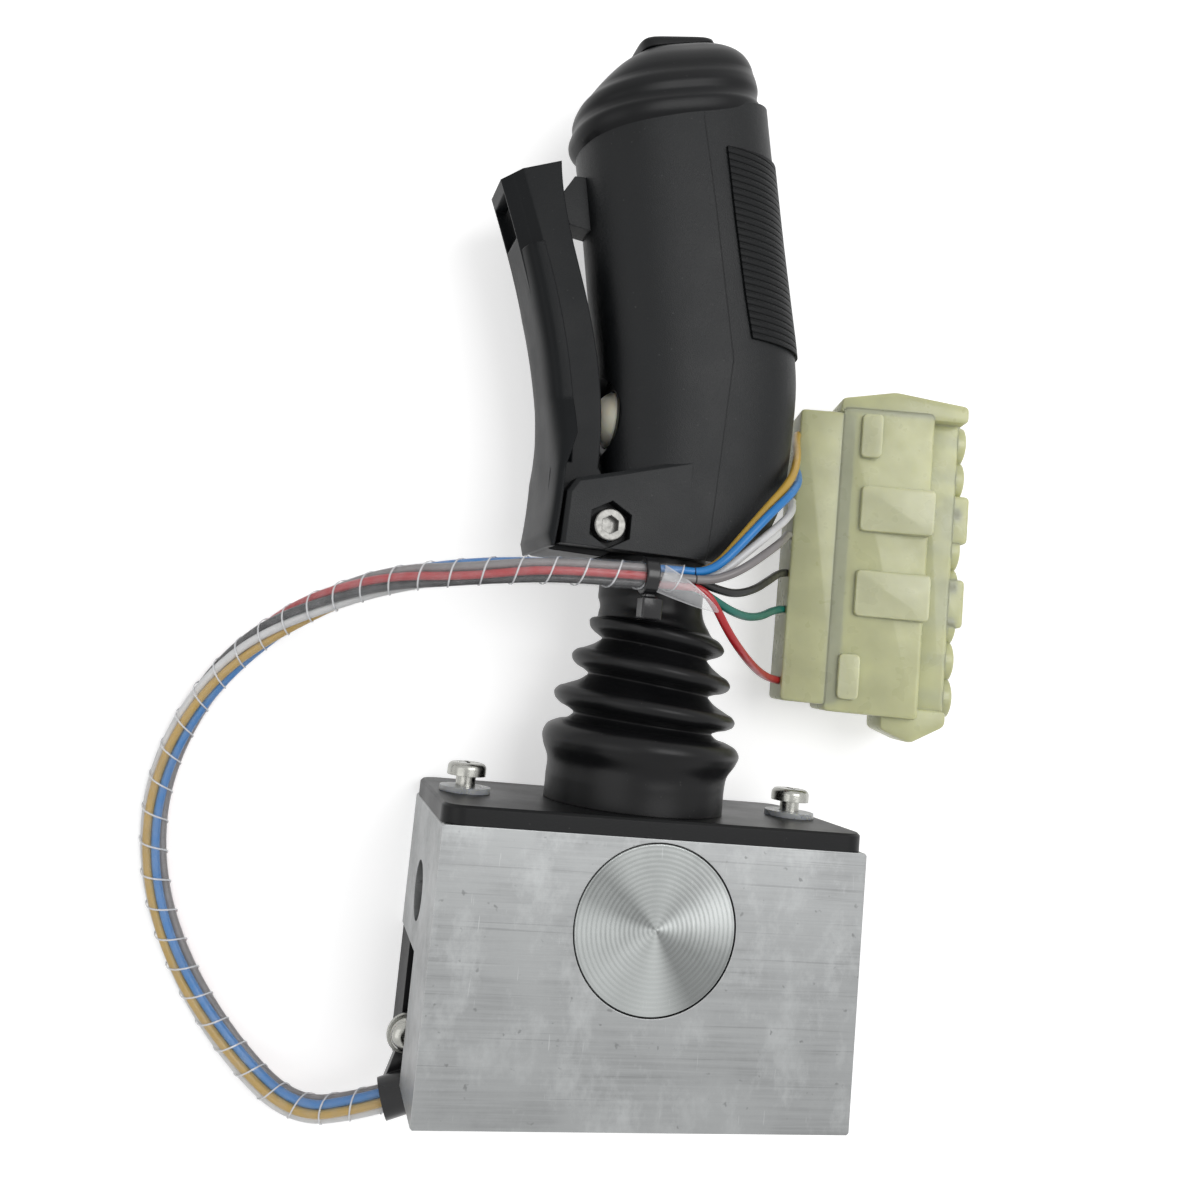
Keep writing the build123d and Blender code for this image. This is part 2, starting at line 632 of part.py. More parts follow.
def cable_clip():
    """P-clip: a ring round the cable and a double tail under the screw."""
    middle, along = clip_ring()
    half = CLIP_W / 2
    ring_plane = Plane(origin=middle - along * half, z_dir=along)
    ring = ring_plane * Cylinder(BUNDLE_R + CLIP_FIT + CLIP_STRAP, CLIP_W, align=(MID, MID, MIN))
    bore_plane = Plane(origin=middle - along * CLIP_W, z_dir=along)
    bore = bore_plane * Cylinder(BUNDLE_R + CLIP_FIT, 2 * CLIP_W, align=(MID, MID, MIN))
    tail_z = COVER_EAR_T + SEAT_GAP - middle.Z
    tail = Pos(-half, 0, tail_z) * Box(CLIP_W, CLIP_SCREW_REACH + half, 2 * CLIP_STRAP, align=(MIN, MIN, MIN))
    tail = fillet(tail.edges().filter_by(Axis.Z).group_by(Axis.Y)[-1], half * 0.7)
    hole = Cylinder(CLIP_SCREW_R + 0.15, 5 * CLIP_STRAP, align=(MID, MID, MIN))
    tail -= Pos(0, CLIP_SCREW_REACH, tail_z - 1) * hole
    return ring + clip_frame() * tail - bore


def clip_top():
    """Height of the clip's tail."""
    return COVER_EAR_T + SEAT_GAP + 2 * CLIP_STRAP


def clip_washer():
    """Plain washer on the clip's tail."""
    x, y, _ = clip_point(0, CLIP_SCREW_REACH, 0)
    disc = rod_z(x, y, CLIP_WASHER_R, clip_top(), clip_top() + CLIP_WASHER_T)
    return disc - rod_z(x, y, CLIP_SCREW_R + 0.1, clip_top() - 1, clip_top() + 2)


def clip_screw():
    """Pan-head screw through the clip into the cover's ear."""
    x, y, _ = clip_point(0, CLIP_SCREW_REACH, 0)
    seat = clip_top() + CLIP_WASHER_T
    head = pan_head(CLIP_HEAD_R, CLIP_HEAD_H) - cross_recess(2.1, 1.2, CLIP_HEAD_H)
    return Pos(x, y, seat) * head + rod_z(x, y, CLIP_SCREW_R, COVER_EAR_T - 8, seat)


# Lever inside the block

def pivot_shaft():
    """Shaft through both bearings, with the magnet's pocket in its rear end."""
    shaft = rod_z(0, 0, SHAFT_R, SHAFT_START, SHAFT_END)
    shaft = chamfer(shaft.edges().filter_by(GeomType.CIRCLE), 0.4)
    return shaft - rod_z(0, 0, MAGNET_R, SHAFT_START - 1, SHAFT_START + MAGNET_T)


def sensor_magnet():
    """Disc magnet glued in the shaft's end."""
    return rod_z(0, 0, MAGNET_R, SHAFT_START, SHAFT_START + MAGNET_T)


def lever_hub():
    """Hub with the rod's socket above, and a tail with the spring's pin below."""
    hub = rod_z(0, 0, HUB_R, HUB_START, HUB_END)
    hub += rod_y(0, LEVER_Z, HUB_BOSS_R, 0, HUB_BOSS_TOP)
    tail = bar(-HUB_TAIL_W / 2, HUB_TAIL_W / 2, -HUB_TAIL, 0, HUB_START, HUB_END)
    hub += fillet(tail.edges().filter_by(Axis.Z).group_by(Axis.Y)[0], 2.5)
    hub += bar(-TONGUE_HALF_W, TONGUE_HALF_W, TONGUE_Y[0], TONGUE_Y[1], HUB_END - 1, CAVITY_FRONT - 0.4)
    hub -= rod_z(0, 0, SHAFT_R, HUB_START - 1, HUB_END + 1)
    hub -= rod_y(0, LEVER_Z, ROD_TENON_R, ROD_START, HUB_BOSS_TOP + 1)
    hub -= rod_x(0, LEVER_Z, HUB_SCREW_R, -HUB_R - 1, 0)
    return hub


def hub_screw():
    """Set screw that clamps the hub on the shaft, seen through the side port."""
    screw = rod_x(0, LEVER_Z, HUB_SCREW_R, -HUB_R + 0.3, -SHAFT_R - 0.02)
    socket = Pos(-HUB_R, 0, LEVER_Z) * Rot(0, 90, 0) * extrude(RegularPolygon(1.15, 6), 2.4)
    return screw - socket


def lever_rod():
    """Steel rod from the hub into the grip."""
    rod = rod_y(0, LEVER_Z, ROD_R, HUB_BOSS_TOP + 0.1, ROD_END)
    rod = chamfer(rod.edges().filter_by(GeomType.CIRCLE).sort_by(Axis.Y)[-1], 0.6)
    return rod + rod_y(0, LEVER_Z, ROD_TENON_R, ROD_START, HUB_BOSS_TOP + 0.2)


def neck_collar():
    """Plastic bush on the rod that carries the boot's neck and the grip's foot."""
    collar = rod_y(0, LEVER_Z, NECK_R, NECK_START, GRIP_BOTTOM)
    collar += rod_y(0, LEVER_Z, BOOT_NECK_R, BOOT_TOP_Y + 0.3, GRIP_BOTTOM)
    return collar - rod_y(0, LEVER_Z, ROD_R, NECK_START - 1, GRIP_BOTTOM + 1)


# Boot

def boot_side(wall):
    """Outline of the boot as points of radius and height; wall moves it inwards."""
    side = [(BOOT_FOOT_R - wall, PLATE_TOP + 0.05), (BOOT_FOOT_R - wall, 32.5),
            (BOOT_LIP_R - 0.9 - wall, BOOT_LIP_Y - 2.6), (BOOT_LIP_R - wall, BOOT_LIP_Y),
            (BOOT_LIP_R - 2.0 - wall, BOOT_LIP_Y + 2.0)]
    for (fold_y, fold_r, half), valley_r in zip(BOOT_FOLDS, BOOT_VALLEYS):
        side += [(valley_r - wall, fold_y - half - 1.4), (valley_r + 0.6 - wall, fold_y - half),
                 (fold_r - 0.9 - wall, fold_y - 1.6), (fold_r - wall, fold_y),
                 (fold_r - 1.4 - wall, fold_y + 1.6)]
    side += [(BOOT_NECK_R + 0.4 - wall, 70.6), (BOOT_NECK_R - wall, 73.0), (BOOT_NECK_R - wall, BOOT_TOP_Y)]
    return side


def boot():
    """Rubber bellows between the plate's collar and the neck."""
    outer = boot_side(0)
    inner = [(r - BOOT_WALL, y) for r, y in outer]
    inner[0] = (COLLAR_R + 0.1, inner[0][1])
    inner[1] = (COLLAR_R + 0.1, PLATE_TOP + COLLAR_H + 0.4)
    inner[-2] = (NECK_R + 0.05, inner[-2][1])
    inner[-1] = (NECK_R + 0.05, inner[-1][1])
    profile = Polyline(*[(r, y, 0) for r, y in outer + inner[::-1]], close=True)
    return Pos(0, 0, LEVER_Z) * revolve(make_face(profile), axis=Axis.Y)


# Grip

def oval(centre_x, half_x, half_z, count=20):
    """Closed superellipse in the plan of X and Z, worked out by its formula."""
    points = []
    for i in range(count):
        a = radians(360 * (i + 0.5) / count)
        x = abs(cos(a)) ** (2 / GRIP_POWER) * half_x * (1 if cos(a) > 0 else -1)
        z = abs(sin(a)) ** (2 / GRIP_POWER) * half_z * (1 if sin(a) > 0 else -1)
        points.append((centre_x + x, z))
    return points


def outline_at(y):
    """Left and right edge of the grip at height y, on a smooth curve through the stations."""
    last = len(GRIP_STATIONS) - 1
    i = max(k for k in range(last) if GRIP_STATIONS[k][0] <= y)
    slopes = []
    for k in (i, i + 1):
        below, above = GRIP_STATIONS[max(k - 1, 0)], GRIP_STATIONS[min(k + 1, last)]
        slopes.append([(above[e] - below[e]) / (above[0] - below[0]) for e in (1, 2)])
    low, high = GRIP_STATIONS[i], GRIP_STATIONS[i + 1]
    span = high[0] - low[0]
    u = (y - low[0]) / span
    return [low[e] * (2 * u ** 3 - 3 * u ** 2 + 1) + high[e] * (3 * u ** 2 - 2 * u ** 3)
            + span * (slopes[0][e - 1] * (u ** 3 - 2 * u ** 2 + u) + slopes[1][e - 1] * (u ** 3 - u ** 2))
            for e in (1, 2)]


def grip_solid(grow):
    """Lofted grip, larger all round by grow."""
    sections = []
    foot, top = GRIP_STATIONS[0][0], GRIP_STATIONS[-1][0]
    for i in range(GRIP_SECTIONS):
        y = foot + (top - foot) * i / GRIP_SECTIONS
        left, right = outline_at(y)
        ring = oval((left + right) / 2, (right - left) / 2 + grow, GRIP_HALF_T + grow)
        plane = Plane(origin=(0, y, LEVER_Z), x_dir=(1, 0, 0), z_dir=(0, -1, 0))
        sections.append(plane * make_face(Spline(*ring, periodic=True)))
    return loft(sections)


def seam_plane():
    """Slanted plane of the grip's top: x along the seam, z out of the grip."""
    t = radians(SEAM_TILT)
    return Plane(origin=(*SEAM_MID, LEVER_Z), x_dir=(cos(t), sin(t), 0), z_dir=(-sin(t), cos(t), 0))


def above_seam():
    """Everything above the grip's slanted top."""
    return seam_plane() * Box(120, 120, 60, align=(MID, MID, MIN))


def front_side():
    """Everything on the trigger's side of the parting line."""
    line = [(x, y) for x, y in PARTING] + [(-90, PARTING[-1][1]), (-90, PARTING[0][1])]
    return Pos(0, 0, -10) * extrude(make_face(Polyline(*line, close=True)), BLOCK_D + 20)


def hollow_grip():
    """Both shells in one: walls, foot and the ribs that clamp the rod."""
    outer = grip_solid(0)
    inner = grip_solid(-GRIP_WALL)
    inner -= bar(-90, 90, 0, GRIP_BOTTOM + RIB_T, -50, 100)
    rib = bar(-90, 90, RIB_YS[1], RIB_YS[1] + RIB_T, -50, 100)
    shell = outer - (inner - rib)
    shell -= bar(-90, 90, 0, GRIP_BOTTOM, -50, 100)
    shell -= above_seam()
    return shell - rod_y(0, LEVER_Z, ROD_R + ROD_FIT, 50, 150)


def cheek(z0, z1):
    """One ear of the clevis round the trigger bolt."""
    plate = Pos(0, 0, z0) * extrude(make_face(Polyline(*CHEEK_OUTLINE, close=True)), z1 - z0)
    outside = plate.faces().sort_by(Axis.Z)[-1 if z1 > LEVER_Z else 0]
    left_edges = outside.edges().sort_by(Axis.X)[:3]
    return chamfer(left_edges, 1.0)


def grip_front_shell():
    """Front half of the grip: clevis ears, trigger slot and switch hole."""
    shell = hollow_grip() & front_side()
    reach = TRIGGER_HALF_W + TRIGGER_SIDE_GAP
    shell += cheek(LEVER_Z + reach, LEVER_Z + GRIP_HALF_T - 0.1)
    shell += cheek(LEVER_Z - GRIP_HALF_T + 0.1, LEVER_Z - reach)
    shell -= bar(-40, -8.4, 80, 105.0, LEVER_Z - reach, LEVER_Z + reach)
    px, py = TRIGGER_PIVOT
    shell -= rod_z(px, py, BOLT_R + 0.1, 0, BLOCK_D)
    front = LEVER_Z + GRIP_HALF_T
    back = LEVER_Z - GRIP_HALF_T
    shell -= hexagon_z(px, py, HEX_FLATS, front - HEX_DEPTH, front + 5)
    shell -= hexagon_z(px, py, HEX_FLATS, back - 5, back + HEX_DEPTH)
    boss = rod_x(DOME_Y, LEVER_Z, BEZEL_R + SWITCH_BOSS_WALL, BEZEL_FACE, SWITCH_FRONT)
    shell += boss & grip_solid(-1)
    return shell - rod_x(DOME_Y, LEVER_Z, BEZEL_R, -40, SWITCH_FRONT + 1)


def pad_zone():
    """Region of the ribbed pad on the palm side."""
    return Pos(0, 0, -10) * extrude(make_face(Polyline(*PAD_OUTLINE, close=True)), BLOCK_D + 20)


def grip_back_shell():
    """Palm half of the grip, recessed for the pad."""
    shell = hollow_grip() - front_side()
    return shell - (pad_zone() - grip_solid(-PAD_SEAT))


def grip_pad():
    """Rubber pad in the palm side."""
    return (grip_solid(PAD_PROUD) - grip_solid(0.02 - PAD_SEAT)) & pad_zone()


def trigger_catch():
    """Small bracket on the grip's front that the trigger's channel passes over."""
    outline = make_face(Polyline(*CATCH_OUTLINE, close=True))
    bracket = Pos(0, 0, LEVER_Z - CATCH_HALF_W) * extrude(outline, 2 * CATCH_HALF_W)
    return bracket - grip_solid(0.02)


# Trigger

def along_ridge(x0, x1, flat, half):
    """Cross-section carried along the trigger's ridge line: x0 outside, x1 inside, half wide."""
    ridge = Spline(*[(x, y, LEVER_Z) for x, y in TRIGGER_RIDGE])
    edge = min(0, x0 + TRIGGER_OUT)
    outline = Polyline((x0, -flat), (x0, flat), (edge, half), (x1, half), (x1, -half), (edge, -half),
                       close=True)
    plane = Plane(origin=ridge @ 0, x_dir=(-1, 0, 0), z_dir=ridge % 0)
    return sweep(plane * Rot(0, 0, 180) * make_face(outline), path=ridge)


def trigger_blank():
    """Trigger before its channel is cut: blade trimmed at the tip, with the foot round the bolt."""
    inner = Spline(*TRIGGER_INNER)
    edge = Polyline(*TRIGGER_TIP) + inner + Line(inner @ 1, TRIGGER_TIP[0])
    side = Pos(0, 0, LEVER_Z - 15) * extrude(make_face(edge), 30)
    blade = along_ridge(-TRIGGER_OUT, 14, TRIGGER_FLAT_W, TRIGGER_HALF_W) & side
    foot_face = make_face(Polyline(*TRIGGER_FOOT, close=True))
    foot = extrude(fillet(foot_face.vertices(), 2.5), 2 * TRIGGER_HALF_W)
    return blade + Pos(0, 0, LEVER_Z - TRIGGER_HALF_W) * foot


def trigger():
    """Channel-shaped lever with a solid foot on the bolt and a pusher for the dome."""
    px, py = TRIGGER_PIVOT
    inside = TRIGGER_HALF_W - TRIGGER_WALL
    hollow = along_ridge(-TRIGGER_OUT + TRIGGER_WALL + 0.6, 16, inside, inside)
    roof = Polyline((-75, CHANNEL_START), *CHANNEL_ROOF, (-10, CHANNEL_START), close=True)
    hollow &= Pos(0, 0, LEVER_Z - 15) * extrude(make_face(roof), 30)
    body = trigger_blank() - hollow
    body += bar(PUSHER_X0, DOME_TIP - PUSHER_GAP, DOME_Y - 4.2, DOME_Y + 4.2, LEVER_Z - 4, LEVER_Z + 4)
    body -= bar(-60, -44.0, WINDOW_Y[0], WINDOW_Y[1], LEVER_Z - WINDOW_HALF_W, LEVER_Z + WINDOW_HALF_W)
    body -= rod_z(px, py, BOLT_R + BOLT_FIT, 0, BLOCK_D)
    body -= rod_z(px, py, POCKET_R, LEVER_Z - POCKET_HALF_W, LEVER_Z + POCKET_HALF_W)
    body -= bar(px, px + 12, py - POCKET_R, py + POCKET_R, LEVER_Z - POCKET_HALF_W, LEVER_Z + POCKET_HALF_W)
    return body


def trigger_spring():
    """Torsion spring round the trigger bolt, one leg on the grip and one in the foot."""
    px, py = TRIGGER_PIVOT
    z0 = LEVER_Z - POCKET_HALF_W + 1.0
    height = TRIGGER_SPRING_TURNS * TRIGGER_SPRING_PITCH
    coil = Pos(px, py, z0) * Rot(0, 0, 90) * Helix(TRIGGER_SPRING_PITCH, height, TRIGGER_SPRING_R)
    spring = wire_along(coil, TRIGGER_SPRING_WIRE_R)
    for end, length in ((coil @ 0, 3.4), (coil @ 1, -8.0 - px - 0.8)):
        leg = rod_x(end.Y, end.Z, TRIGGER_SPRING_WIRE_R, end.X, end.X + length)
        spring += leg + Pos(*end) * Sphere(TRIGGER_SPRING_WIRE_R)
    return spring


def trigger_bolt():
    """Socket head bolt that the trigger turns on."""
    px, py = TRIGGER_PIVOT
    seat = LEVER_Z + GRIP_HALF_T - HEX_DEPTH
    head = rod_z(px, py, BOLT_HEAD_R, seat, seat + BOLT_HEAD_H)
    head = fillet(head.edges().sort_by(Axis.Z)[-1], 0.5)
    head -= hexagon_z(px, py, 4.0, seat + 1.4, seat + BOLT_HEAD_H + 1)
    return head + rod_z(px, py, BOLT_R, LEVER_Z - GRIP_HALF_T + 0.3, seat)


def trigger_nut():
    """Hexagonal nut in the far ear's pocket."""
    px, py = TRIGGER_PIVOT
    floor = LEVER_Z - GRIP_HALF_T + HEX_DEPTH
    nut = hexagon_z(px, py, NUT_FLATS, floor - NUT_H, floor)
    return nut - rod_z(px, py, BOLT_R, 0, BLOCK_D)


# Enable switch

def switch_plunger():
    """Cream dome on a short skirt, with the stem that works the switch."""
    radius = (DOME_R ** 2 + DOME_RISE ** 2) / (2 * DOME_RISE)
    base = DOME_TIP + DOME_RISE
    half = degrees(acos((radius - DOME_RISE) / radius))
    dome = CenterArc((DOME_TIP + radius, 0), radius, 180 - half, half)
    rest = Polyline(dome @ 0, (base + SKIRT, DOME_R), (base + SKIRT, STEM_R), (STEM_END, STEM_R),
                    (STEM_END, 0), dome @ 1)
    turned = revolve(make_face(dome + rest), axis=Axis.X)
    return Pos(0, DOME_Y, LEVER_Z) * turned


def switch_bezel():
    """Black rubber ring round the dome."""
    ring = rod_x(DOME_Y, LEVER_Z, BEZEL_R, BEZEL_FACE, SWITCH_FRONT)
    ring = fillet(ring.edges().sort_by(Axis.X)[0], 1.0)
    return ring - rod_x(DOME_Y, LEVER_Z, BEZEL_BORE_R, BEZEL_FACE - 1, SWITCH_FRONT + 1)


def enable_switch():
    """Switch body behind the dome, with the hole for its stem and two terminals."""
    half = SWITCH_HALF_W
    body = bar(SWITCH_FRONT, SWITCH_BACK, DOME_Y - half, DOME_Y + half, LEVER_Z - half, LEVER_Z + half)
    body = fillet(body.edges().filter_by(Axis.X), 1.0)
    body -= rod_x(DOME_Y, LEVER_Z, STEM_R + 0.1, SWITCH_FRONT - 1, STEM_END + DOME_TRAVEL + 0.6)
    for sz in (-1, 1):
        body += bar(SWITCH_BACK - 1, SWITCH_BACK + 2, DOME_Y - 1.2, DOME_Y + 1.2, LEVER_Z + sz * 4 - 0.4,
                    LEVER_Z + sz * 4 + 0.4)
    return body


# Cap and rocker

def cap_form(shrink, stations):
    """Lofted ellipses of the rubber cap, smaller all round by shrink."""
    sections = []
    for n, middle, half_t, half_z in stations:
        ring = Pos(middle, 0, n) * Ellipse(half_t - shrink, half_z - shrink)
        sections.append(ring)
    return loft(sections)


def grip_cap():
    """Rubber cap over the rocker switch, open at the top for the rocker."""
    outer = cap_form(0, CAP_STATIONS)
    top_n = CAP_STATIONS[-1][0]
    outer = fillet(outer.edges().sort_by(Axis.Z)[-1], 1.2)
    inner = cap_form(CAP_WALL, [(0.0,) + CAP_STATIONS[0][1:]] + list(CAP_STATIONS[1:-1])
                     + [(top_n - CAP_WALL,) + CAP_STATIONS[-1][1:]])
    hole_t = ROCKER_HALF_T + ROCKER_GAP
    hole_z = ROCKER_HALF_Z + ROCKER_GAP
    hole = Pos(ROCKER_T, 0, top_n) * Box(2 * hole_t, 2 * hole_z, 12)
    hole = fillet(hole.edges().filter_by(Axis.Z), 2.5)
    cap = outer - inner - hole
    return seam_plane() * Pos(0, 0, SEAT_GAP) * cap


def rocker_switch():
    """Rocker switch body on a flange that closes the grip, with the cradle for the pin."""
    _, middle, half_t, half_z = CAP_STATIONS[0]
    inside = CAP_WALL + FLANGE_GAP
    flange = Pos(middle, 0, SEAT_GAP) * extrude(Ellipse(half_t - inside, half_z - inside), FLANGE_T)
    body = Box(2 * SWITCH_HALF_T, 2 * SWITCH_HALF_Z, BODY_TOP_N, align=(MID, MID, MIN))
    body = Pos(ROCKER_T, 0, SEAT_GAP) * fillet(body.edges().filter_by(Axis.Z), 1.5)
    well = Box(2 * (SWITCH_HALF_T - WELL_WALL_T), 2 * (SWITCH_HALF_Z - WELL_WALL_Z), 12,
               align=(MID, MID, MIN))
    body -= Pos(ROCKER_T, 0, ROCKER_PIVOT_N - WELL_DEPTH) * well
    body -= Pos(ROCKER_T, 0, ROCKER_PIVOT_N) * Rot(0, 90, 0) * Cylinder(PIN_R, 60)
    return seam_plane() * (flange + body)


def rocker_pin():
    """Steel pin across the switch body, which the rocker turns on."""
    length = 2 * SWITCH_HALF_T
    return seam_plane() * Pos(ROCKER_T, 0, ROCKER_PIVOT_N) * Rot(0, 90, 0) * Cylinder(PIN_R, length)


def rocker_button():
    """Thumb rocker: dished crown above the cap and a hanger on the pin."""
    dish = Plane.YZ * make_face(
        Polyline((ROCKER_HALF_Z - 1.0, ROCKER_BASE_N), (-ROCKER_HALF_Z + 1.0, ROCKER_BASE_N),
                 (-ROCKER_HALF_Z, ROCKER_TOP_N - 1.2), (-ROCKER_HALF_Z + 1.4, ROCKER_TOP_N))
        + ThreePointArc((-ROCKER_HALF_Z + 1.4, ROCKER_TOP_N), (0, ROCKER_TOP_N - 1.5),
                        (ROCKER_HALF_Z - 1.4, ROCKER_TOP_N))
        + Polyline((ROCKER_HALF_Z - 1.4, ROCKER_TOP_N), (ROCKER_HALF_Z, ROCKER_TOP_N - 1.2),
                   (ROCKER_HALF_Z - 1.0, ROCKER_BASE_N)))
    crown = Pos(-ROCKER_HALF_T, 0, 0) * extrude(dish, 2 * ROCKER_HALF_T)
    tilt = radians(ROCKER_SLOPE)
    slope = Plane(origin=(0, 0, ROCKER_MID_N), x_dir=(cos(tilt), 0, -sin(tilt)),
                  z_dir=(sin(tilt), 0, cos(tilt)))
    crown -= slope * Box(60, 60, 8, align=(MID, MID, MIN))
    hanger_h = ROCKER_BASE_N - ROCKER_PIVOT_N + HANGER_HALF + 1
    hanger = Pos(0, 0, ROCKER_PIVOT_N - HANGER_HALF) * Box(2 * SWITCH_HALF_T - 6, 2 * HANGER_HALF, hanger_h,
                                                           align=(MID, MID, MIN))
    rocker = crown + hanger - Pos(0, 0, ROCKER_PIVOT_N) * Rot(0, 90, 0) * Cylinder(PIN_R + 0.06, 60)
    return seam_plane() * Pos(ROCKER_T, 0, 0) * rocker


# Harness and connector

def harness_bundle():
    """Seven twisted wires in their wrap, as one round cord."""
    return tube(HARNESS_ROUTE, BUNDLE_R)


def zip_tie():
    """Cable tie round the end of the bundle, its head hanging down."""
    before, end = Vector(*HARNESS_ROUTE[-2]), Vector(*HARNESS_ROUTE[-1])
    along = (end - before).normalized()
    middle = end - along * TIE_BACK
    plane = Plane(origin=middle - along * (TIE_W / 2), x_dir=(0, 0, 1), z_dir=along)
    inner = BUNDLE_R + TIE_GAP
    band = Cylinder(inner + TIE_T, TIE_W, align=(MID, MID, MIN))
    head = Pos(0, inner + 0.5, -0.6) * Box(6.0, 6.5, TIE_W + 1.2, align=(MID, MIN, MIN))
    band += fillet(head.edges().filter_by(Axis.Z), 0.8)
    band -= Pos(0, 0, -2) * Cylinder(inner, TIE_W + 5, align=(MID, MID, MIN))
    return plane * band


def connector_frame():
    """Frame of the connector: x out of the wire side, y along its length, z out of its face."""
    t = radians(CONN_TILT)
    return Plane(origin=CONN_AT, x_dir=(cos(t), 0, sin(t)), z_dir=(-sin(t), 0, cos(t)))


def way_places():
    """Positions of the ways along the connector, the first at the top."""
    return [((WAYS - 1) / 2 - i) * WAY_PITCH for i in range(WAYS)]


def connector_shell():
    """Housing in its own frame: silos, body, latch ramps, flange and rib."""
    half = CONN_L / 2
    inset = half - CONN_FLARE
    outline = Polyline((CONN_NOSE, -inset), (CONN_W, -half), (CONN_W, half), (CONN_NOSE, inset), close=True)
    body = extrude(make_face(outline), CONN_T)
    body = chamfer(body.edges().filter_by(Axis.Z), 0.8)
    body += Pos(CONN_NOSE - 3, 0, CONN_T / 2) * Box(6, 2 * inset - 2, CONN_T - 4, align=(MIN, MID, MID))
    for v in way_places():
        body += Pos(0, v, CONN_T / 2) * Rot(0, 90, 0) * Cylinder(SILO_R, CONN_NOSE + 1, align=(MID, MID, MIN))
    body += Pos(14, half - 0.5, 2) * Box(22, 3.3, CONN_T - 4, align=(MIN, MIN, MIN))
    body += Pos(31, -half + 0.5, 3) * Box(9, 4.0, CONN_T - 6, align=(MIN, MAX, MIN))
    return body


def latch_ramp(u0, u1, v, width, height, up):
    """Latch ramp on the front face when up, or on the rear face: a wedge that falls to the mating side."""
    rise = height if up else -height
    outline = Polyline((u0, 0, 0), (u0 + 1.2, 0, rise), (u0 + 5.0, 0, rise), (u1, 0, rise * 0.55), (u1, 0, 0),
                       close=True)
    wedge = extrude(make_face(outline), width, dir=(0, 1, 0))
    level = CONN_T - 0.02 if up else 0.02
    return Pos(0, v - width / 2, level) * wedge


def connector_housing():
    """Natural nylon housing with eight ways, open at the mating side."""
    body = connector_shell()
    for up, height in ((True, 2.8), (False, REAR_RAMP)):
        for v in (14.5, -7.7):
            body += latch_ramp(17.6, CONN_W - 0.1, v, 12.0, height, up)
    body += latch_ramp(17.0, 23.0, 35.5, 6.0, 2.6, True)
    body += latch_ramp(14.5, 20.0, -30.4, 12.5, 2.2, True)
    mouth = Box(POCKET_D + 1, POCKET_V, POCKET_W, align=(MIN, MID, MID))
    for v in way_places():
        body -= Pos(CONN_W - POCKET_D, v, CONN_T / 2) * mouth
        body -= rod_x(v, CONN_T / 2, CONTACT_HOLE_R, -1, CONN_W - 1)
        body -= rod_x(v, CONN_T / 2, SILO_BORE_R, -1, MOUTH_D)
    return connector_frame() * body


def contacts():
    """Seven crimped pins, each in its way."""
    ways = way_places()
    group = []
    for way, _ in WIRES.values():
        pin = rod_x(ways[way], CONN_T / 2, CONTACT_R, WIRE_ENTRY, CONN_W - POCKET_D + PIN_REACH)
        group.append(connector_frame() * pin)
    return group


def loose_wire(way, points):
    """One wire from the bundle's end to its contact."""
    end = connector_frame().from_local_coords(Vector(WIRE_ENTRY, way_places()[way], CONN_T / 2))
    return tube(list(points) + [(end.X, end.Y, end.Z)], WIRE_R)


def all_nodes():
    """Every node of the joystick by name; a list is a group of separate solids."""
    nodes = {make.__name__: make() for make in (
        housing_block, top_plate, back_cover, cover_screws, pivot_cap, centring_spring, spring_post,
        sensor_board, board_screws, neutral_switch, switch_screws, panel_screws, panel_washers,
        cable_clip, clip_washer, clip_screw, boot, harness_bundle,
        pivot_shaft, sensor_magnet, bearing_inner_rings, lever_hub, hub_screw, lever_rod, neck_collar,
        grip_front_shell, grip_back_shell, grip_pad, grip_cap, trigger_catch, trigger_bolt, trigger_nut,
        trigger_spring, switch_bezel, enable_switch, rocker_switch, rocker_pin,
        connector_housing, contacts, zip_tie, trigger, switch_plunger, rocker_button)}
    nodes["front_bearing"] = bearing_outer(FRONT_BEARING_Z)
    nodes["rear_bearing"] = bearing_outer(REAR_BEARING_Z)
    for name, (way, points) in WIRES.items():
        nodes[name] = loose_wire(way, points)
    return nodes


def write_parts():
    """Write one STEP file for each node."""
    os.makedirs("parts", exist_ok=True)
    for name, shape in all_nodes().items():
        solid = Compound(children=shape) if isinstance(shape, list) else shape
        export_step(solid, f"parts/{name}.step")
        print(name, round(solid.volume, 1))


if __name__ == "__main__":
    write_parts()
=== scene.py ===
"""Dresses the industrial joystick: finishes, cords, soft parts and the studio round it.

Shapes are worked out in millimetres in the part's own frame and go into their meshes in metres.
"""

import json
import logging
import math
from dataclasses import dataclass, field
from enum import Enum

import bpy
import numpy as np
from mathutils import Matrix


